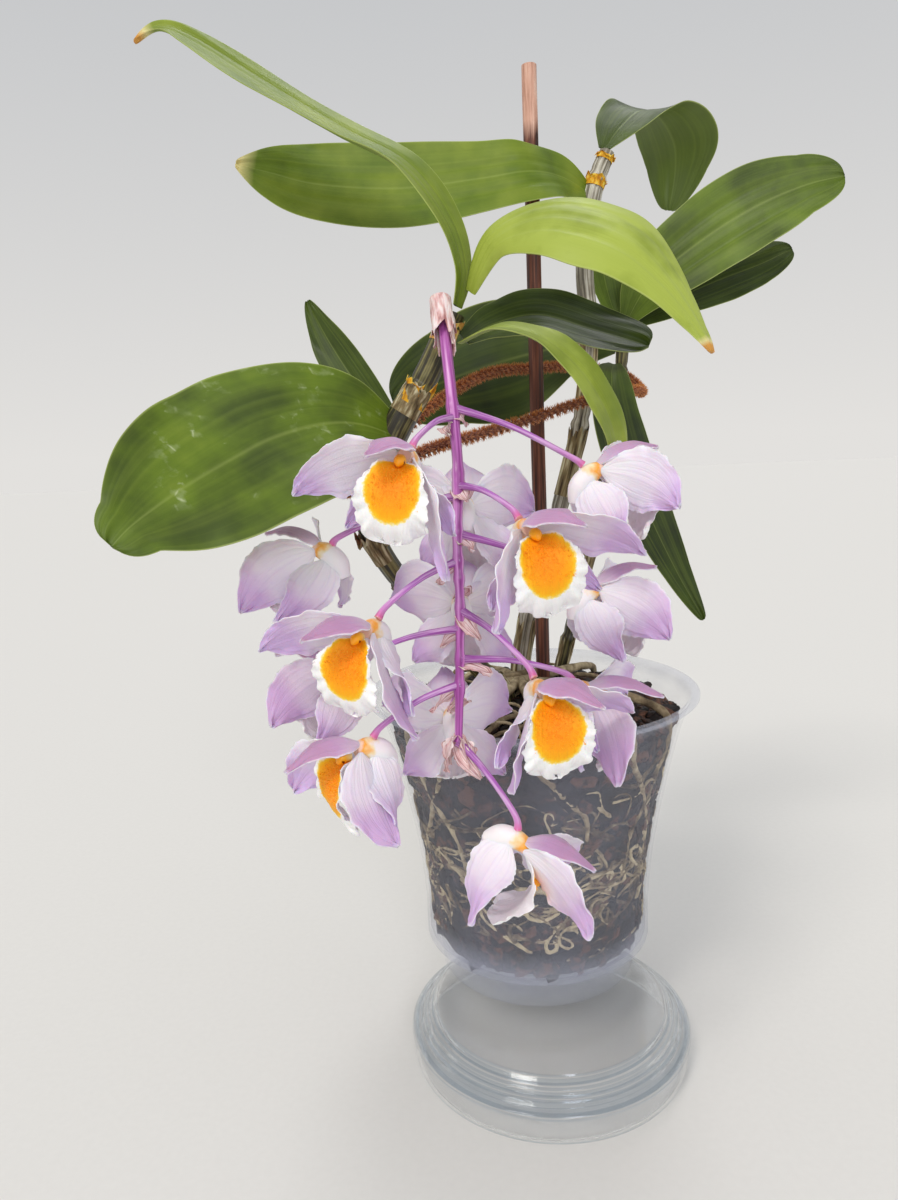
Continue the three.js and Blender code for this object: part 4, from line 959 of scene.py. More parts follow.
def milky_plastic():
    """Polypropylene, injection moulded: bluish and milky, more so where the wall is thick."""
    pot = bpy.context.scene.orchid_pot
    made, tree, shade = finish(
        "polypropylene_milky_moulded", Roughness=0.3, IOR=1.49, Coat_Weight=0.3, Coat_Roughness=0.12)
    spot = tones(tree)[2]
    height = add(tree, "SeparateXYZ", [spot]).outputs[2]
    share = add(tree, "MapRange", [height, FOOT_BOTTOM * MM, LIP_TOP * MM])
    thin, thick = ((level, level, level, 1.0) for level in (pot.pot_haze, min(2.4 * pot.pot_haze, 1)))
    # the foot, the floor's corner and the lip are thicker than the wall
    haze = add(tree, "ValToRGB", [share], stops=[
        (0.0, thin), (0.1, thick), (0.15, thick), (0.22, thin), (0.95, thin), (0.98, thick)])
    cloud = add(tree, "TexNoise", {"Vector": spot, "Scale": 1 / (14 * MM), "Detail": 4.0})
    uneven = add(tree, "MapRange", [cloud, 0.3, 0.7, 0.8, 1.25])
    body = add(tree, "Math", [haze, uneven], operation="MULTIPLY")
    tree.links.new(source(body), shade.inputs["Alpha"])
    flow = add(tree, "TexNoise", {"Vector": spot, "Scale": 1 / (3 * MM), "Detail": 2.0})
    blued = add(tree, "Mix", {0: cloud, 6: pot.pot_colour, 7: linear("#b9bfd8")}, data_type="RGBA")
    dress(tree, shade, blued, (flow, 0.03))
    return made


def clear_plastic():
    """PET sheet, vacuum formed: glass-clear, with painted lines along its rounded steps for the light they
    reflect and bend.
    """
    pot = bpy.context.scene.orchid_pot
    made, tree, shade = finish(
        "pet_sheet_vacuum_formed", Roughness=0.05, IOR=1.45, Transmission_Weight=1.0,
        Coat_Weight=0.5, Coat_Roughness=0.03)
    spot = tones(tree)[2]
    flow = add(tree, "TexNoise", {"Vector": spot, "Scale": 1 / (9 * MM), "Detail": 2.0})
    # painted reflection: along every fold the sheet is made denser and a little darker, for the light the
    # steps catch and bend
    height = add(tree, "SeparateXYZ", [spot]).outputs[2]
    folds = (0.4, *(z for _, z in SAUCER_OUTSIDE[1:-1]), SAUCER_TOP - 0.5)
    painted_fold_lines = None
    for fold in folds:
        off = add(tree, "Math", [height, fold * MM, 0.3 * MM], operation="COMPARE")
        painted_fold_lines = off if painted_fold_lines is None else add(tree, "Math", [painted_fold_lines, off], operation="MAXIMUM")
    body = add(tree, "MapRange", {0: painted_fold_lines, 3: pot.saucer_body, 4: 0.8})
    tree.links.new(source(body), shade.inputs["Alpha"])
    lined = add(tree, "Mix", {0: painted_fold_lines, 6: pot.saucer_colour, 7: linear("#bcc9d5")}, data_type="RGBA")
    dress(tree, shade, lined, (flow, 0.06))
    return made


def floor_paint():
    """Studio floor, painted: even and matt, with a trace of roller texture."""
    studio = bpy.context.scene.orchid_studio
    made, tree, shade = finish("floor_paint_rolled", Roughness=0.7)
    nap = add(tree, "TexNoise", {"Vector": tones(tree)[2], "Scale": 1 / (2.5 * MM), "Detail": 2.0})
    share = add(tree, "MapRange", [nap, 0.3, 0.7, 0.0, 0.06])
    paint = add(tree, "Mix", {0: share, 6: studio.floor_colour, 7: linear("#b9b7b3")}, data_type="RGBA")
    dress(tree, shade, paint)
    return made


# ---------------------------------------------------------------- pieces

def pot_radius(height):
    """The pot's outer radius at a height."""
    radii, heights = zip(*POT_OUTSIDE[2:])
    return np.interp(height, heights, radii)


def bark_height(r):
    """The bark's height at a distance from the pot's axis."""
    return BARK_EDGE + BARK_MOUND * (1 - (r / BARK_REACH) ** 2)


def flower_place(flower):
    """A flower's turn and place: a matrix and a shift."""
    az, el, spin = (math.radians(flower[k]) for k in ("turn", "tilt", "roll"))
    look = np.array([math.sin(az) * math.cos(el), -math.cos(az) * math.cos(el), math.sin(el)])
    level = unit(np.array([0, 0, 1.0]) - look * look[2])
    right = np.cross(level, look)
    up = level * math.cos(spin) + right * math.sin(spin)
    return np.stack([np.cross(up, look), up, look], 1), np.array(flower["hub"], float)


def varied(tepal, flower, k):
    """A tepal bent a little differently on each flower."""
    last = len(tepal["path"]) - 1
    path = []
    for i, point in enumerate(tepal["path"]):
        s = (i / last) ** 2
        stray = [most * s * scatter(flower, k + n) for most, n in zip(TIP_STRAY, (0, 5, 9))]
        path.append([a + b for a, b in zip(point, stray)])
    return {**tepal, "path": path}


def swept(tepal, turns, flare=0, reach=1):
    """A tepal that points to the right, swept forward and then nodding, by degrees."""
    s, n = (math.radians(a) for a in turns)

    def turn(p):
        x, y, z = p
        ahead = x * math.sin(s) + z * math.cos(s)
        return [x * math.cos(s) - z * math.sin(s), y * math.cos(n) - ahead * math.sin(n),
                y * math.sin(n) + ahead * math.cos(n)]

    face = [turn((x, y + flare * math.sin(s), z)) for x, y, z in tepal["face"]]
    return {**tepal, "path": [turn(p * reach) for p in np.array(tepal["path"])], "face": face}


def pedicel_of(flower):
    """The thin stalk from the main stalk to a flower."""
    turn, hub = flower_place(flower)
    t = 0
    while t < 1 and along(RACHIS["path"], t)[2] > flower["leaves"]:
        t += 0.005
    start = along(RACHIS["path"], t)
    centre = turn @ np.array(HUB_CENTRE) + hub
    into = unit(unit(start - centre) + unit(turn @ np.array([0, 0.75, -0.65])))
    end = centre + into * (HUB_RADIUS + AIR)
    bend = centre + into * 8
    middle = (start + bend) / 2 + np.array([0, 0, 1.5])
    return {"path": [start, middle, bend, end], "radius": PEDICEL}


class OrchidPiece:
    """What every piece's operator shares."""

    bl_options = {"REGISTER", "UNDO"}


class ORCHID_OT_saucer(OrchidPiece, bpy.types.Operator):
    """Makes the clear stepped saucer, upside down under the pot"""

    bl_idname = "orchid.saucer"
    bl_label = "Saucer"

    def execute(self, context):
        pot = context.scene.orchid_pot
        outline = [(0, SAUCER_TOP - SAUCER_WALL), *filleted(SAUCER_INSIDE, FILLET),
                   *filleted(SAUCER_OUTSIDE, FILLET), (0, SAUCER_TOP)]
        body = turned(outline, sides=pot.facets)
        skin = Skin()
        skin.add(body, place=(np.eye(3), np.array([*SAUCER_CENTRE, 0.0])))
        skin.build("clear_saucer", [clear_plastic()], ["saucer"], sharp=40)
        return {"FINISHED"}


class ORCHID_OT_pot(OrchidPiece, bpy.types.Operator):
    """Makes the milky clear pot with its flat lip and its skirt"""

    bl_idname = "orchid.pot"
    bl_label = "Pot"

    def execute(self, context):
        pot = context.scene.orchid_pot
        (foot, bottom), (_, foot_top), (base, base_height) = POT_OUTSIDE[:3]
        wall = [tuple(along(POT_OUTSIDE[3:], t)) for t in np.linspace(0, 1, 24)]
        inside = [(r - POT_WALL, z) for r, z in wall[:-2]]
        outline = [(0, foot_top), (foot - POT_WALL, foot_top), (foot - POT_WALL, bottom), (foot, bottom),
                   (foot + 0.4, foot_top), (base - 0.5, base_height - 0.1), (base, base_height + 0.4),
                   *wall, (LIP_RADIUS - 0.4, LIP_TOP - LIP_THICKNESS),
                   (LIP_RADIUS, LIP_TOP - LIP_THICKNESS + 0.4), (LIP_RADIUS, LIP_TOP - 0.4),
                   (LIP_RADIUS - 0.4, LIP_TOP), (LIP_RADIUS - LIP_WIDTH + 0.4, LIP_TOP),
                   (LIP_RADIUS - LIP_WIDTH, LIP_TOP - 0.4), *inside[::-1],
                   (base - POT_WALL, POT_FLOOR + 0.8), (base - POT_WALL - 0.8, POT_FLOOR), (0, POT_FLOOR)]
        skin = Skin()
        skin.add(turned(outline, sides=pot.facets))
        skin.build("clear_pot", [milky_plastic()], ["pot"], sharp=40)
        return {"FINISHED"}


class ORCHID_OT_bark(OrchidPiece, bpy.types.Operator):
    """Fills the pot with chopped bark"""

    bl_idname = "orchid.bark"
    bl_label = "Bark"

    def execute(self, context):
        draw = np.random.default_rng(BARK_DRAW)
        skin = Skin()
        inside = [(pot_radius(z) - POT_WALL - CORE_GAP, z) for z in np.linspace(44, 118, 30)]
        top = [(r, bark_height(r) - CORE_DEPTH) for r in np.linspace(44, 4, 10)]
        outline = [(0, POT_FLOOR + AIR), (40, POT_FLOOR + AIR), *inside, *top,
                   (0, bark_height(0) - CORE_DEPTH)]

        def rough(r, z, angle):
            lump = np.sin(r * 0.7 + 3 * angle) * np.sin(z * 0.5 + 7 * angle)
            lump = lump + 0.6 * np.sin(z * 0.9 - 13 * angle)
            return r - 0.6 * (1 + lump) * (r > 6), z + 0.7 * np.sin(9 * angle + r * 0.4) * (z > 116) * (r > 6)

        # painted shade: the core's low tone makes it darker than the chips, as the shade between them
        skin.add(turned(outline, rough, sides=96), tone=(0.1, 0))
        # a chip is a rounded block of eight sides, with every corner knocked about
        block = turned([(0, -1), (0.85, -0.8), (1.1, 0), (0.85, 0.8), (0, 1)], sides=8)
        count = context.scene.orchid_pot.chips
        for n in range(count):
            on_top = n < CHIPS_ON_TOP * count
            angle = draw.uniform(0, TURN)
            size = np.array([draw.uniform(*span) for span in CHIP_SIZES])
            if on_top:
                r = 52 * math.sqrt(draw.uniform(0, 1))
                z = bark_height(r) - draw.uniform(0.5, 2.5)
                size = size * 0.8
                turns = (draw.uniform(0, TURN), draw.uniform(-0.5, 0.5), draw.uniform(-0.6, 0.6), "X")
            else:
                z = draw.uniform(POT_FLOOR + 3, 118)
                r = pot_radius(z) - POT_WALL - draw.uniform(2.2, 5)
                turns = (angle, math.pi / 2 + draw.uniform(-0.4, 0.4), draw.uniform(0, TURN), "Z")
            yaw, lean, roll, axis = turns
            turn = np.array(Matrix.Rotation(yaw, 3, "Z") @ Matrix.Rotation(lean, 3, "Y")
                            @ Matrix.Rotation(roll, 3, axis))
            rugged = (block[0] + draw.uniform(-0.22, 0.22, block[0].shape)) * size
            chip = rugged @ turn.T + [r * math.cos(angle), r * math.sin(angle), z]
            # what would come through the wall is pushed back inside it
            flat = np.hypot(chip[:, 0], chip[:, 1])
            limit = pot_radius(chip[:, 2]) - POT_WALL - CHIP_GAP
            chip[:, :2] *= np.minimum(1, limit / np.maximum(flat, 1e-6))[:, None]
            skin.add((chip, *block[1:]), tone=(draw.uniform(0, 1), 0))
        skin.build("bark_mix", [bark_chips()], ["medium"], smooth=False)
        return {"FINISHED"}


def main_root(bearing, depth, drift):
    """The path of one of the main roots, over the bark and down the wall."""
    def spot(angle, r, z):
        a = math.radians(angle)
        return [r * math.cos(a), r * math.sin(a), z]

    def wall(z):
        return pot_radius(z) - POT_WALL - ROOT_RADIUS - 0.55

    path = [[-4, 4, bark_height(0) + 4], spot(bearing, 20, bark_height(20) + ROOT_LIFT),
            spot(bearing, 38, bark_height(38) + ROOT_LIFT),
            spot(bearing + 0.08 * drift, wall(BARK_EDGE) - 2.4, BARK_EDGE + 2.8)]
    for f in np.linspace(0.12, 1, 10):
        z = BARK_EDGE - f * depth
        sway = 4 * math.sin(8 * f + bearing) + 2 * math.sin(19 * f + depth)
        path.append(spot(bearing + f * drift + sway * f, wall(z), z))
    return path


class ORCHID_OT_roots(OrchidPiece, bpy.types.Operator):
    """Grows the roots over the bark and along the inside of the wall"""

    bl_idname = "orchid.roots"
    bl_label = "Roots"

    def execute(self, context):
        draw = np.random.default_rng(ROOT_DRAW)
        skin = Skin()

        def wrinkled(phase):
            return lambda t, a: 0.09 * np.sin(90 * t + 2 * a + phase) + 0.07 * np.sin(233 * t + phase)

        for bearing, depth, drift in ROOTS:
            shape = {"path": main_root(bearing, depth, drift), "radius": ROOT_TAPER}
            skin.add(tube(shape, wrinkled(bearing), sides=10, steps=120), tone=(draw.uniform(0.2, 0.6), 0))
        rhizome = {"path": [[-15, 2, 129.6], [-4, 4, 130.6], [8, 16, 129.6]], "radius": [2.2, 3.2, 2]}
        skin.add(tube(rhizome, wrinkled(1), sides=16, steps=24), tone=(0.1, 0))
        for n in range(context.scene.orchid_pot.roots):
            start, drift = draw.uniform(0, 360), draw.uniform(-70, 70)
            top, fall = draw.triangular(44, 66, 116), draw.uniform(-8, 26)
            phase, swing = draw.uniform(0, TURN, 5), draw.uniform(2, 6)
            thick = draw.uniform(0.35, 1)
            path = []
            for f in np.linspace(0, 1, 18):
                curl = math.sin(8 * f + phase[0]) + 0.6 * math.sin(17 * f + phase[3])
                z = max(top - fall * f + swing * curl, POT_FLOOR + 6)
                angle = math.radians(start + drift * f + 7 * math.sin(10 * f + phase[1])
                                     + 3 * math.sin(21 * f + phase[4]))
                # it dips in and out between the chips
                r = pot_radius(z) - POT_WALL - 0.5 - thick - 0.5 * (1 + math.sin(9 * f + phase[2]))
                path.append([r * math.cos(angle), r * math.sin(angle), z])
            shape = {"path": path, "radius": [0.5 * thick, thick, thick, 0.8 * thick, 0.3 * thick]}
            skin.add(tube(shape, wrinkled(n), sides=7, steps=64), tone=(draw.uniform(-0.1, 0.75), 0))
        for n in range(LOOSE_ROOTS):
            angle, r = draw.uniform(0, TURN), draw.uniform(8, 46)
            length, phase = draw.uniform(12, 40), draw.uniform(0, TURN, 2)
            outward = angle + draw.uniform(-1.4, 1.4)
            path = []
            for f in np.linspace(0, 1, 9):
                bend = outward + 0.5 * math.sin(4 * f)
                x = r * math.cos(angle) + length * (f - 0.5) * math.cos(bend)
                y = r * math.sin(angle) + length * (f - 0.5) * math.sin(bend)
                far = math.hypot(x, y)
                keep = min(1, 52 / max(far, 1e-6))
                z = bark_height(min(far, 52)) + 1.4 + 2.0 * math.sin(math.pi * f) * abs(math.sin(phase[0]))
                path.append([x * keep, y * keep, z - 3 * (f > 0.95) - 3 * (f < 0.05)])
            thick = draw.uniform(0.5, 1.2)
            shape = {"path": path, "radius": [thick, thick, thick * 0.7]}
            skin.add(tube(shape, wrinkled(n), sides=7, steps=34), tone=(draw.uniform(0.2, 1), 0))
        skin.build("roots_grown", [root_velamen()], ["roots"])
        return {"FINISHED"}


class ORCHID_OT_stake(OrchidPiece, bpy.types.Operator):
    """Makes the stained stake"""

    bl_idname = "orchid.stake"
    bl_label = "Stake"

    def execute(self, context):
        def worn(t, angle):
            return 0.05 * np.sin(3 * angle + 20 * t) + 0.04 * np.sin(31 * t + angle)

        skin = Skin()
        skin.add(tube(STAKE, worn, sides=24, steps=120))
        skin.build("stake_dowel", [dowel_stain()], ["stake"])
        return {"FINISHED"}


def sheath(cane, start, end, spread, turn, gap, seed, flare, teeth):
    """A torn papery sheath: a sheet curved round a stem, from one share of its length to another.

    It wraps the stem by spread to either side of turn, leaves a gap that widens by flare at its end,
    and its end is torn into teeth.
    """
    draw = np.random.default_rng(seed)
    steps, across = 22, 26
    t = np.linspace(start, end, steps + 1)
    s = np.linspace(0, 1, steps + 1)
    centre, forward = along(cane["path"], t), heading(cane["path"], t)
    side = unit(np.cross(forward, np.array([math.cos(turn), math.sin(turn), 0.2])))
    up = np.cross(forward, side)
    angle = np.linspace(-spread, spread, across + 1)
    tear = draw.uniform(0, teeth, across + 1)
    tear = tear + 0.8 * teeth * np.abs(np.sin(2.2 * angle + seed))
    points = []
    for n in range(steps + 1):
        r = along(cane["radius"], t[n]) + gap + flare * s[n] ** 2
        r = r + 0.25 * np.sin(5 * angle + 9 * s[n] + seed) * s[n]
        ring = centre[n] + r[:, None] * (side[n] * np.cos(angle)[:, None] + up[n] * np.sin(angle)[:, None])
        ring = ring - forward[n] * (tear * s[n] ** 3)[:, None]
        points.append(ring)
    outer = np.array(points)
    inner = outer - unit(outer - centre[:, None]) * 0.16
    faces = sheet(steps, across)
    v, u = np.meshgrid(np.linspace(-1, 1, across + 1), s)
    place = np.stack([v.ravel(), u.ravel()], 1)
    places = np.concatenate([place, place])[faces]
    return np.concatenate([outer.reshape(-1, 3), inner.reshape(-1, 3)]), faces, places


class ORCHID_OT_canes(OrchidPiece, bpy.types.Operator):
    """Grows the canes with their ribs, nodes and dried sheaths"""

    bl_idname = "orchid.canes"
    bl_label = "Canes"

    def execute(self, context):
        def ribbed(joints, ribs, depth):
            def shape(t, angle):
                ridge = depth * np.sin(ribs * angle + 2 * t) + 0.5 * depth * np.sin(2.7 * ribs * angle)
                swell = sum(0.5 * np.exp(-((t - joint) / 0.006) ** 2)
                            - 0.3 * np.exp(-((t - joint - 0.012) / 0.005) ** 2) for joint in joints)
                return ridge + swell
            return shape

        paper = bract_paper()
        green = cane_skin("cane_epidermis_grown", 0.4, 0.35, [
            (0.5, "#17100a"), (0.75, "#35301a"), (1.0, "#8c8450")])
        grey = cane_skin("cane_sheath_dried_fibrous", 0.8, 0.5, [
            (0.5, "#39332b"), (0.72, "#8a8372"), (0.95, "#d3cfc2")])
        skins = {"cane_green": green, "cane_dry": grey}
        for name, cane in CANES.items():
            joints = cane["joints"]
            skin = Skin()
            skin.add(tube(cane, ribbed(joints, *cane["ribs"]), sides=cane["sides"], steps=cane["steps"]))
            count, below, above, spread, turn, gap, seed, flare, teeth = cane["wraps"]
            for n, joint in enumerate(joints[:count]):
                skin.add(sheath(cane, joint - below, joint + above, spread, n * turn, gap, seed + n, flare,
                                teeth), tone=(1, 0), finish=1)
            for tone, *loose in cane["loose"]:
                skin.add(sheath(cane, *loose), tone=tone, finish=1)
            skin.build(f"cane_{name}_grown", [skins[cane["slot"]], paper], [f"cane_{name}"])
        return {"FINISHED"}


class ORCHID_OT_tie(OrchidPiece, bpy.types.Operator):
    """Twists the chenille tie round the canes and the stake"""

    bl_idname = "orchid.tie"
    bl_label = "Tie"

    def execute(self, context):
        draw = np.random.default_rng(PILE_DRAW)
        loop = np.array(TIE_PATH, float)
        count = len(loop)

        def at(u):
            s = (u % 1) * count
            i = s.astype(int)
            return between(*(loop[(i + k) % count] for k in (-1, 0, 1, 2)), (s - i)[..., None])

        ring = at(np.linspace(0, 1, 160))
        skin = Skin()
        skin.add(tube({"path": ring, "radius": [WIRE_RADIUS]}, sides=8, steps=480))
        pile = context.scene.orchid_plant.pile
        u = (np.arange(pile) + draw.uniform(0, 1, pile)) / pile
        way = unit(at(u + 0.002) - at(u - 0.002))
        side = unit(np.cross(way, [0.1, 0.2, 1.0]))
        up = np.cross(way, side)
        # the pile stands in two rows that wind round the wire
        length = np.linalg.norm(np.diff(ring, axis=0), axis=1).sum()
        twist = u * length / PILE_PITCH * TURN + (np.arange(pile) % 2) * math.pi + draw.normal(0, 0.45, pile)
        out = side * np.cos(twist)[:, None] + up * np.sin(twist)[:, None]
        tip = TIE_RADIUS * draw.uniform(0.95, 1.35, pile)
        lean = draw.normal(0, 0.5, pile)
        start = at(u) + out * 0.8
        end = at(u) + out * tip[:, None] + way * lean[:, None]
        tone = np.tile(draw.uniform(0, 1, pile)[:, None] * [1, 0], (4, 1))
        skin.add(spikes(start, end, FIBRE_RADIUS), tone=tone)
        skin.build("tie_chenille", [chenille()], ["tie"])
        return {"FINISHED"}


class ORCHID_OT_leaves(OrchidPiece, bpy.types.Operator):
    """Grows the leaves"""

    bl_idname = "orchid.leaves"
    bl_label = "Leaves"

    def execute(self, context):
        plain, chalked = leaf_cuticle(False), leaf_cuticle(True)
        for n, (name, leaf) in enumerate(LEAVES.items()):
            part = blade({"ease": 0.05, **leaf}, steps=90, across=40, frill=(0.35, 7),
                         crease=leaf.get("crease", 0.35), seed=n + 3)
            skin = Skin()
            skin.add(part, tone=(leaf["age"], leaf.get("tip", 0)))
            skin.build(name + "_grown", [chalked if name == CHALKED_LEAF else plain], [name])
        return {"FINISHED"}


class ORCHID_OT_stalk(OrchidPiece, bpy.types.Operator):
    """Grows the flower stalk with its pedicels and dried bracts"""

    bl_idname = "orchid.stalk"
    bl_label = "Flower stalk"

    def execute(self, context):
        skin = Skin()
        run = np.linspace(0, 1, 400)
        levels = along(RACHIS["path"], run)[:, 2]
        joints = [float(np.interp(-flower["leaves"], -levels, run)) for flower in FLOWERS]

        def jointed(t, angle):
            swell = sum(NODE_SWELL * np.exp(-((t - joint) / 0.012) ** 2) for joint in joints)
            return swell + 0.08 * np.sin(5 * angle + 3 * t)

        def footed(t, angle):
            return 0.06 * np.sin(3 * angle + 5 * t) + 0.5 * np.exp(-(t / 0.04) ** 2)

        skin.add(tube(RACHIS, jointed, sides=24, steps=220))
        for n, flower in enumerate(FLOWERS):
            pedicel = pedicel_of(flower)
            skin.add(tube(pedicel, footed, sides=16, steps=60), tone=(1, 0))
            start, _, bend, _ = pedicel["path"]
            way = unit(bend - start)
            # each bract clasps the foot of its pedicel and withers to paper
            length = 7 + 2.5 * scatter(n, 3)
            lift = unit(np.cross(way, np.array([0.3 * scatter(n, 4), 0.2, 1.0])))
            bract = {
                "path": [start - way * 0.5 + [0, 0, -1.6],
                         start + way * length * 0.4 + lift * 1.2 + [0, 0, -2.0],
                         start + way * length + lift * scatter(n, 8) * 2 + [0, 0, -3.4]],
                "half": [1.6, 2.4, 0.5], "face": [lift * 0.6 + [0, 0, 0.8]], "fold": [0.5, 0.3, 0.1],
            }
            skin.add(blade(bract, steps=22, across=14, frill=(0.7, 5), teeth=0.4, seed=n, thickness=PAPER),
                     finish=1)
        paper = bract_paper()
        top = {"path": [[-29, -49, 264], [-28.5, -53, 257], [-28, -58, 247]], "radius": [2.8, 2.6, 2.4]}
        skin.add(sheath(top, 0.0, 0.8, 2.9, 0.5, 0.5, 101, 0.8, 4.0), finish=1)
        skin.add(sheath(top, 0.3, 0.98, 2.0, 2.5, 0.3, 103, 0.6, 3.0), tone=(0.2, 0), finish=1)
        # four bracts close round the stalk's end
        end = along(RACHIS["path"], 1)
        for n in range(4):
            a = n * TURN / 4 + 0.6
            out = np.array([math.cos(a), 0.5 * math.sin(a), 0])
            bract = {"path": [end + out * 0.6 + [0, 0, 2], end + out * 3.4 + [0, 0, -1.4],
                              end + out * 4.6 + [0, 0, -6.5 - n]],
                     "half": [1.2, 2.2, 0.5], "face": [out * 0.8 + [0, 0, 0.4]], "fold": 0.3}
            skin.add(blade(bract, steps=20, across=12, frill=(0.8, 5), teeth=0.4, seed=n + 40,
                           thickness=PAPER), finish=1)
        skin.build("flower_stalk_grown", [stalk_skin(), paper], ["rachis"])
        return {"FINISHED"}


class ORCHID_OT_flowers(OrchidPiece, bpy.types.Operator):
    """Opens the flowers' sepals and petals"""

    bl_idname = "orchid.flowers"
    bl_label = "Flowers"

    def execute(self, context):
        def chin_shape(t, angle):
            return 0.25 * np.sin(2 * angle) * np.sin(math.pi * t)

        satin, chin = tepal_skin(), spur_skin()
        for i, flower in enumerate(FLOWERS):
            place = flower_place(flower)
            lean, rise = flower["dorsal"]
            turned_away = abs(flower["turn"]) > TURNED_AWAY
            blush = 0.1 if turned_away else 0.2 + 0.2 * scatter(i, BLUSH_DRAW)
            keel = 0.3 if turned_away else 1.0
            reach = flower.get("reach", 1)
            breadth = BACK_BREADTH if turned_away else 1
            skin = Skin()
            skin.add(tube(SPUR, chin_shape, sides=20, steps=26), finish=1, place=place)
            parts = [
                (swept(varied(DORSAL, i, 1), (-lean, -rise)), 1, keel, 0.35),
                (swept(varied(PETAL, i, 2), flower["right"], FLARE, reach), 1, blush, 0.7),
                (swept(varied(PETAL, i, 3), flower["left"], FLARE, reach), -1, blush, 0.7),
                (varied(SEPAL, i, 4), 1, 0.2, 0.5),
                (varied(SEPAL, i, 5), -1, 0.2, 0.5),
            ]
            for k, (shape, mirror, depth, frill) in enumerate(parts):
                shape["half"] = [breadth * half for half in shape["half"]]
                part = blade(shape, mirror, steps=56, across=22, frill=(frill, 5 + k), teeth=0.25,
                             crease=0.25, seed=20 * i + k, thickness=TEPAL, ruffle=0.35)
                skin.add(part, tone=(depth, 0), place=place)
            number = f"{i + 1:02d}"
            skin.build(f"flower_{number}_grown", [satin, chin], [f"flower_{number}"])
        return {"FINISHED"}


class ORCHID_OT_lips(OrchidPiece, bpy.types.Operator):
    """Opens the flowers' lips, with their columns and throat hairs"""

    bl_idname = "orchid.lips"
    bl_label = "Lips"

    def execute(self, context):
        velvet, hair, pillar = lip_velvet(), throat_hair(), column_skin()
        hairs = context.scene.orchid_flower.hairs
        for i, flower in enumerate(FLOWERS):
            draw = np.random.default_rng(HAIR_DRAW + i)
            place = flower_place(flower)
            skin = Skin()
            skin.add(blade(LIP, steps=64, across=40, frill=(0.8, 9), teeth=0.5, seed=i, thickness=TEPAL,
                           ruffle=0.5), place=place)
            skin.add(tube(COLUMN, sides=18, steps=22), finish=2, place=place)
            t = draw.uniform(0.2, 0.6, hairs)
            v = draw.uniform(-0.72, 0.72, hairs)
            points, _, up, *_ = surface(LIP, t, v)
            tall = 0.35 + 0.55 * np.clip(1 - np.abs(t - 0.36) / 0.2, 0, 1) * draw.uniform(0.5, 1, hairs)
            tips = points + up * (tall + 0.3)[:, None] + draw.normal(0, 0.2, (hairs, 3))
            skin.add(spikes(points + up * 0.2, tips, HAIR_RADIUS), finish=1, place=place)
            number = f"{i + 1:02d}"
            skin.build(f"lip_{number}_grown", [velvet, hair, pillar], [f"lip_{number}"])
        return {"FINISHED"}


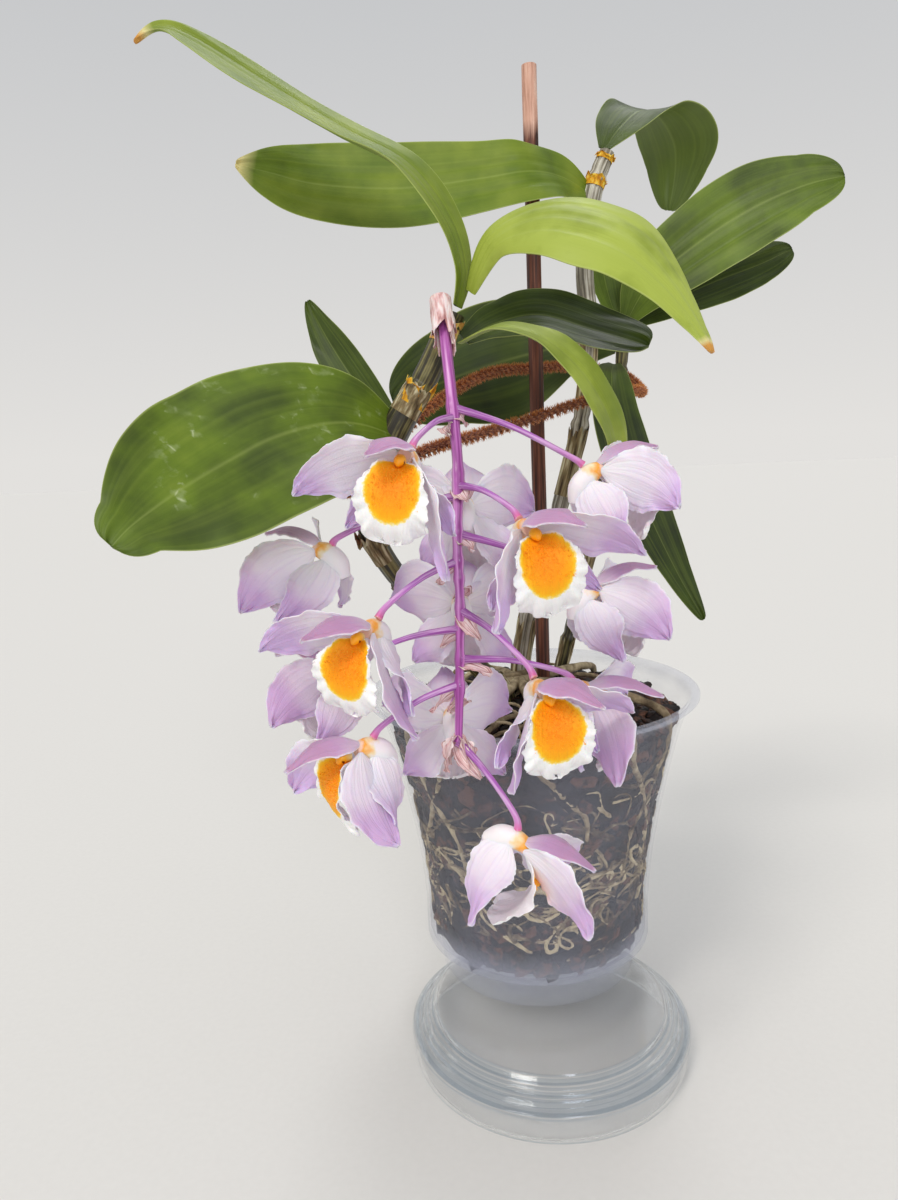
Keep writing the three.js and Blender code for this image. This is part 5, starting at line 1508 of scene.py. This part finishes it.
class ORCHID_OT_stage(OrchidPiece, bpy.types.Operator):
    """Sets the plain pale floor, the soft lights and the camera"""

    bl_idname = "orchid.stage"
    bl_label = "Stage"

    def execute(self, context):
        studio = context.scene.orchid_studio
        floor = bpy.data.meshes.new("floor")
        corners = ((-1, -1), (1, -1), (1, 1), (-1, 1))
        floor.from_pydata([(x * FLOOR_REACH, y * FLOOR_REACH, 0) for x, y in corners], [], [(0, 1, 2, 3)])
        floor.materials.append(floor_paint())
        piece = bpy.data.objects.new("floor", floor)
        context.scene.collection.objects.link(piece)
        for name, spot, strength, hue in (
                ("key_light", (-0.55, -0.8, 1.1), studio.key_strength, "#fffaf2"),
                ("fill_light", (0.2, -1.0, 0.45), studio.fill_strength, "#f6f8ff"),
                ("back_light", (0.3, 1.0, 1.8), 0.7 * studio.fill_strength, "#ffffff")):
            lamp = bpy.data.lights.new(name, "SUN")
            lamp.energy, lamp.color, lamp.angle = strength, linear(hue)[:3], math.radians(LAMP_BREADTH)
            lit = bpy.data.objects.new(name, lamp)
            lit.location = spot
            lit.rotation_euler = (-Vector(spot)).to_track_quat("-Z", "Y").to_euler()
            context.scene.collection.objects.link(lit)
        world = bpy.data.worlds.new("studio")
        world.use_nodes = True
        sky = world.node_tree.nodes["Background"]
        way = add(world.node_tree, "TexCoord").outputs["Generated"]
        rise = add(world.node_tree, "SeparateXYZ", [way]).outputs[2]
        # at the horizon the backdrop has the floor's own tone
        fade = add(world.node_tree, "ValToRGB", [rise], stops=[(0.0, "#e8e6e3"), (0.5, "#c6c8cb")])
        world.node_tree.links.new(source(fade), sky.inputs["Color"])
        sky.inputs["Strength"].default_value = studio.sky
        context.scene.world = world
        film = bpy.data.cameras.new("camera")
        film.lens = studio.lens
        film.clip_start, film.clip_end = 0.01, 20
        camera = bpy.data.objects.new("camera", film)
        stand = np.array(CAMERA_STAND) * MM + POT_AXIS
        pitch, roll = math.radians(CAMERA_PITCH), math.radians(CAMERA_ROLL)
        right, up = Vector((1, 0, 0)), Vector((0, math.sin(pitch), math.cos(pitch)))
        back = Vector((0, -math.cos(pitch), math.sin(pitch)))
        turned_right = right * math.cos(roll) + up * math.sin(roll)
        turned_up = up * math.cos(roll) - right * math.sin(roll)
        facing = Matrix((turned_right, turned_up, back)).transposed().to_4x4()
        camera.matrix_world = Matrix.Translation(stand) @ facing
        context.scene.collection.objects.link(camera)
        context.scene.camera = camera
        context.scene.view_settings.view_transform = "Standard"
        return {"FINISHED"}


class ORCHID_PT_panel(bpy.types.Panel):
    """Lists the orchid's pieces in the order they are made"""

    bl_label = "Orchid"
    bl_idname = "ORCHID_PT_panel"
    bl_space_type = "VIEW_3D"
    bl_region_type = "UI"
    bl_category = "Orchid"

    def draw(self, context):
        for group in ("orchid_pot", "orchid_plant", "orchid_flower", "orchid_studio"):
            settings = getattr(context.scene, group)
            box = self.layout.box()
            for name in settings.__annotations__:
                box.prop(settings, name)
        for piece in PIECES:
            self.layout.operator(piece.bl_idname)


PIECES = (
    ORCHID_OT_stage, ORCHID_OT_saucer, ORCHID_OT_pot, ORCHID_OT_bark, ORCHID_OT_roots, ORCHID_OT_stake,
    ORCHID_OT_canes, ORCHID_OT_tie, ORCHID_OT_leaves, ORCHID_OT_stalk, ORCHID_OT_flowers, ORCHID_OT_lips,
)
SETTINGS = {
    "orchid_pot": PotSettings, "orchid_plant": PlantSettings, "orchid_flower": FlowerSettings,
    "orchid_studio": StudioSettings,
}


def register():
    """Adds the settings, the operators and the panel to Blender."""
    for name, group in SETTINGS.items():
        bpy.utils.register_class(group)
        setattr(bpy.types.Scene, name, PointerProperty(type=group))
    for made in (*PIECES, ORCHID_PT_panel):
        bpy.utils.register_class(made)


def unregister():
    """Takes them out again."""
    for made in (ORCHID_PT_panel, *reversed(PIECES)):
        bpy.utils.unregister_class(made)
    for name, group in SETTINGS.items():
        delattr(bpy.types.Scene, name)
        bpy.utils.unregister_class(group)


def main():
    """Makes every piece in order."""
    register()
    for piece in PIECES:
        getattr(bpy.ops.orchid, piece.bl_idname.split(".")[1])()
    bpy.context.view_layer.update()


if __name__ == "__main__":
    main()
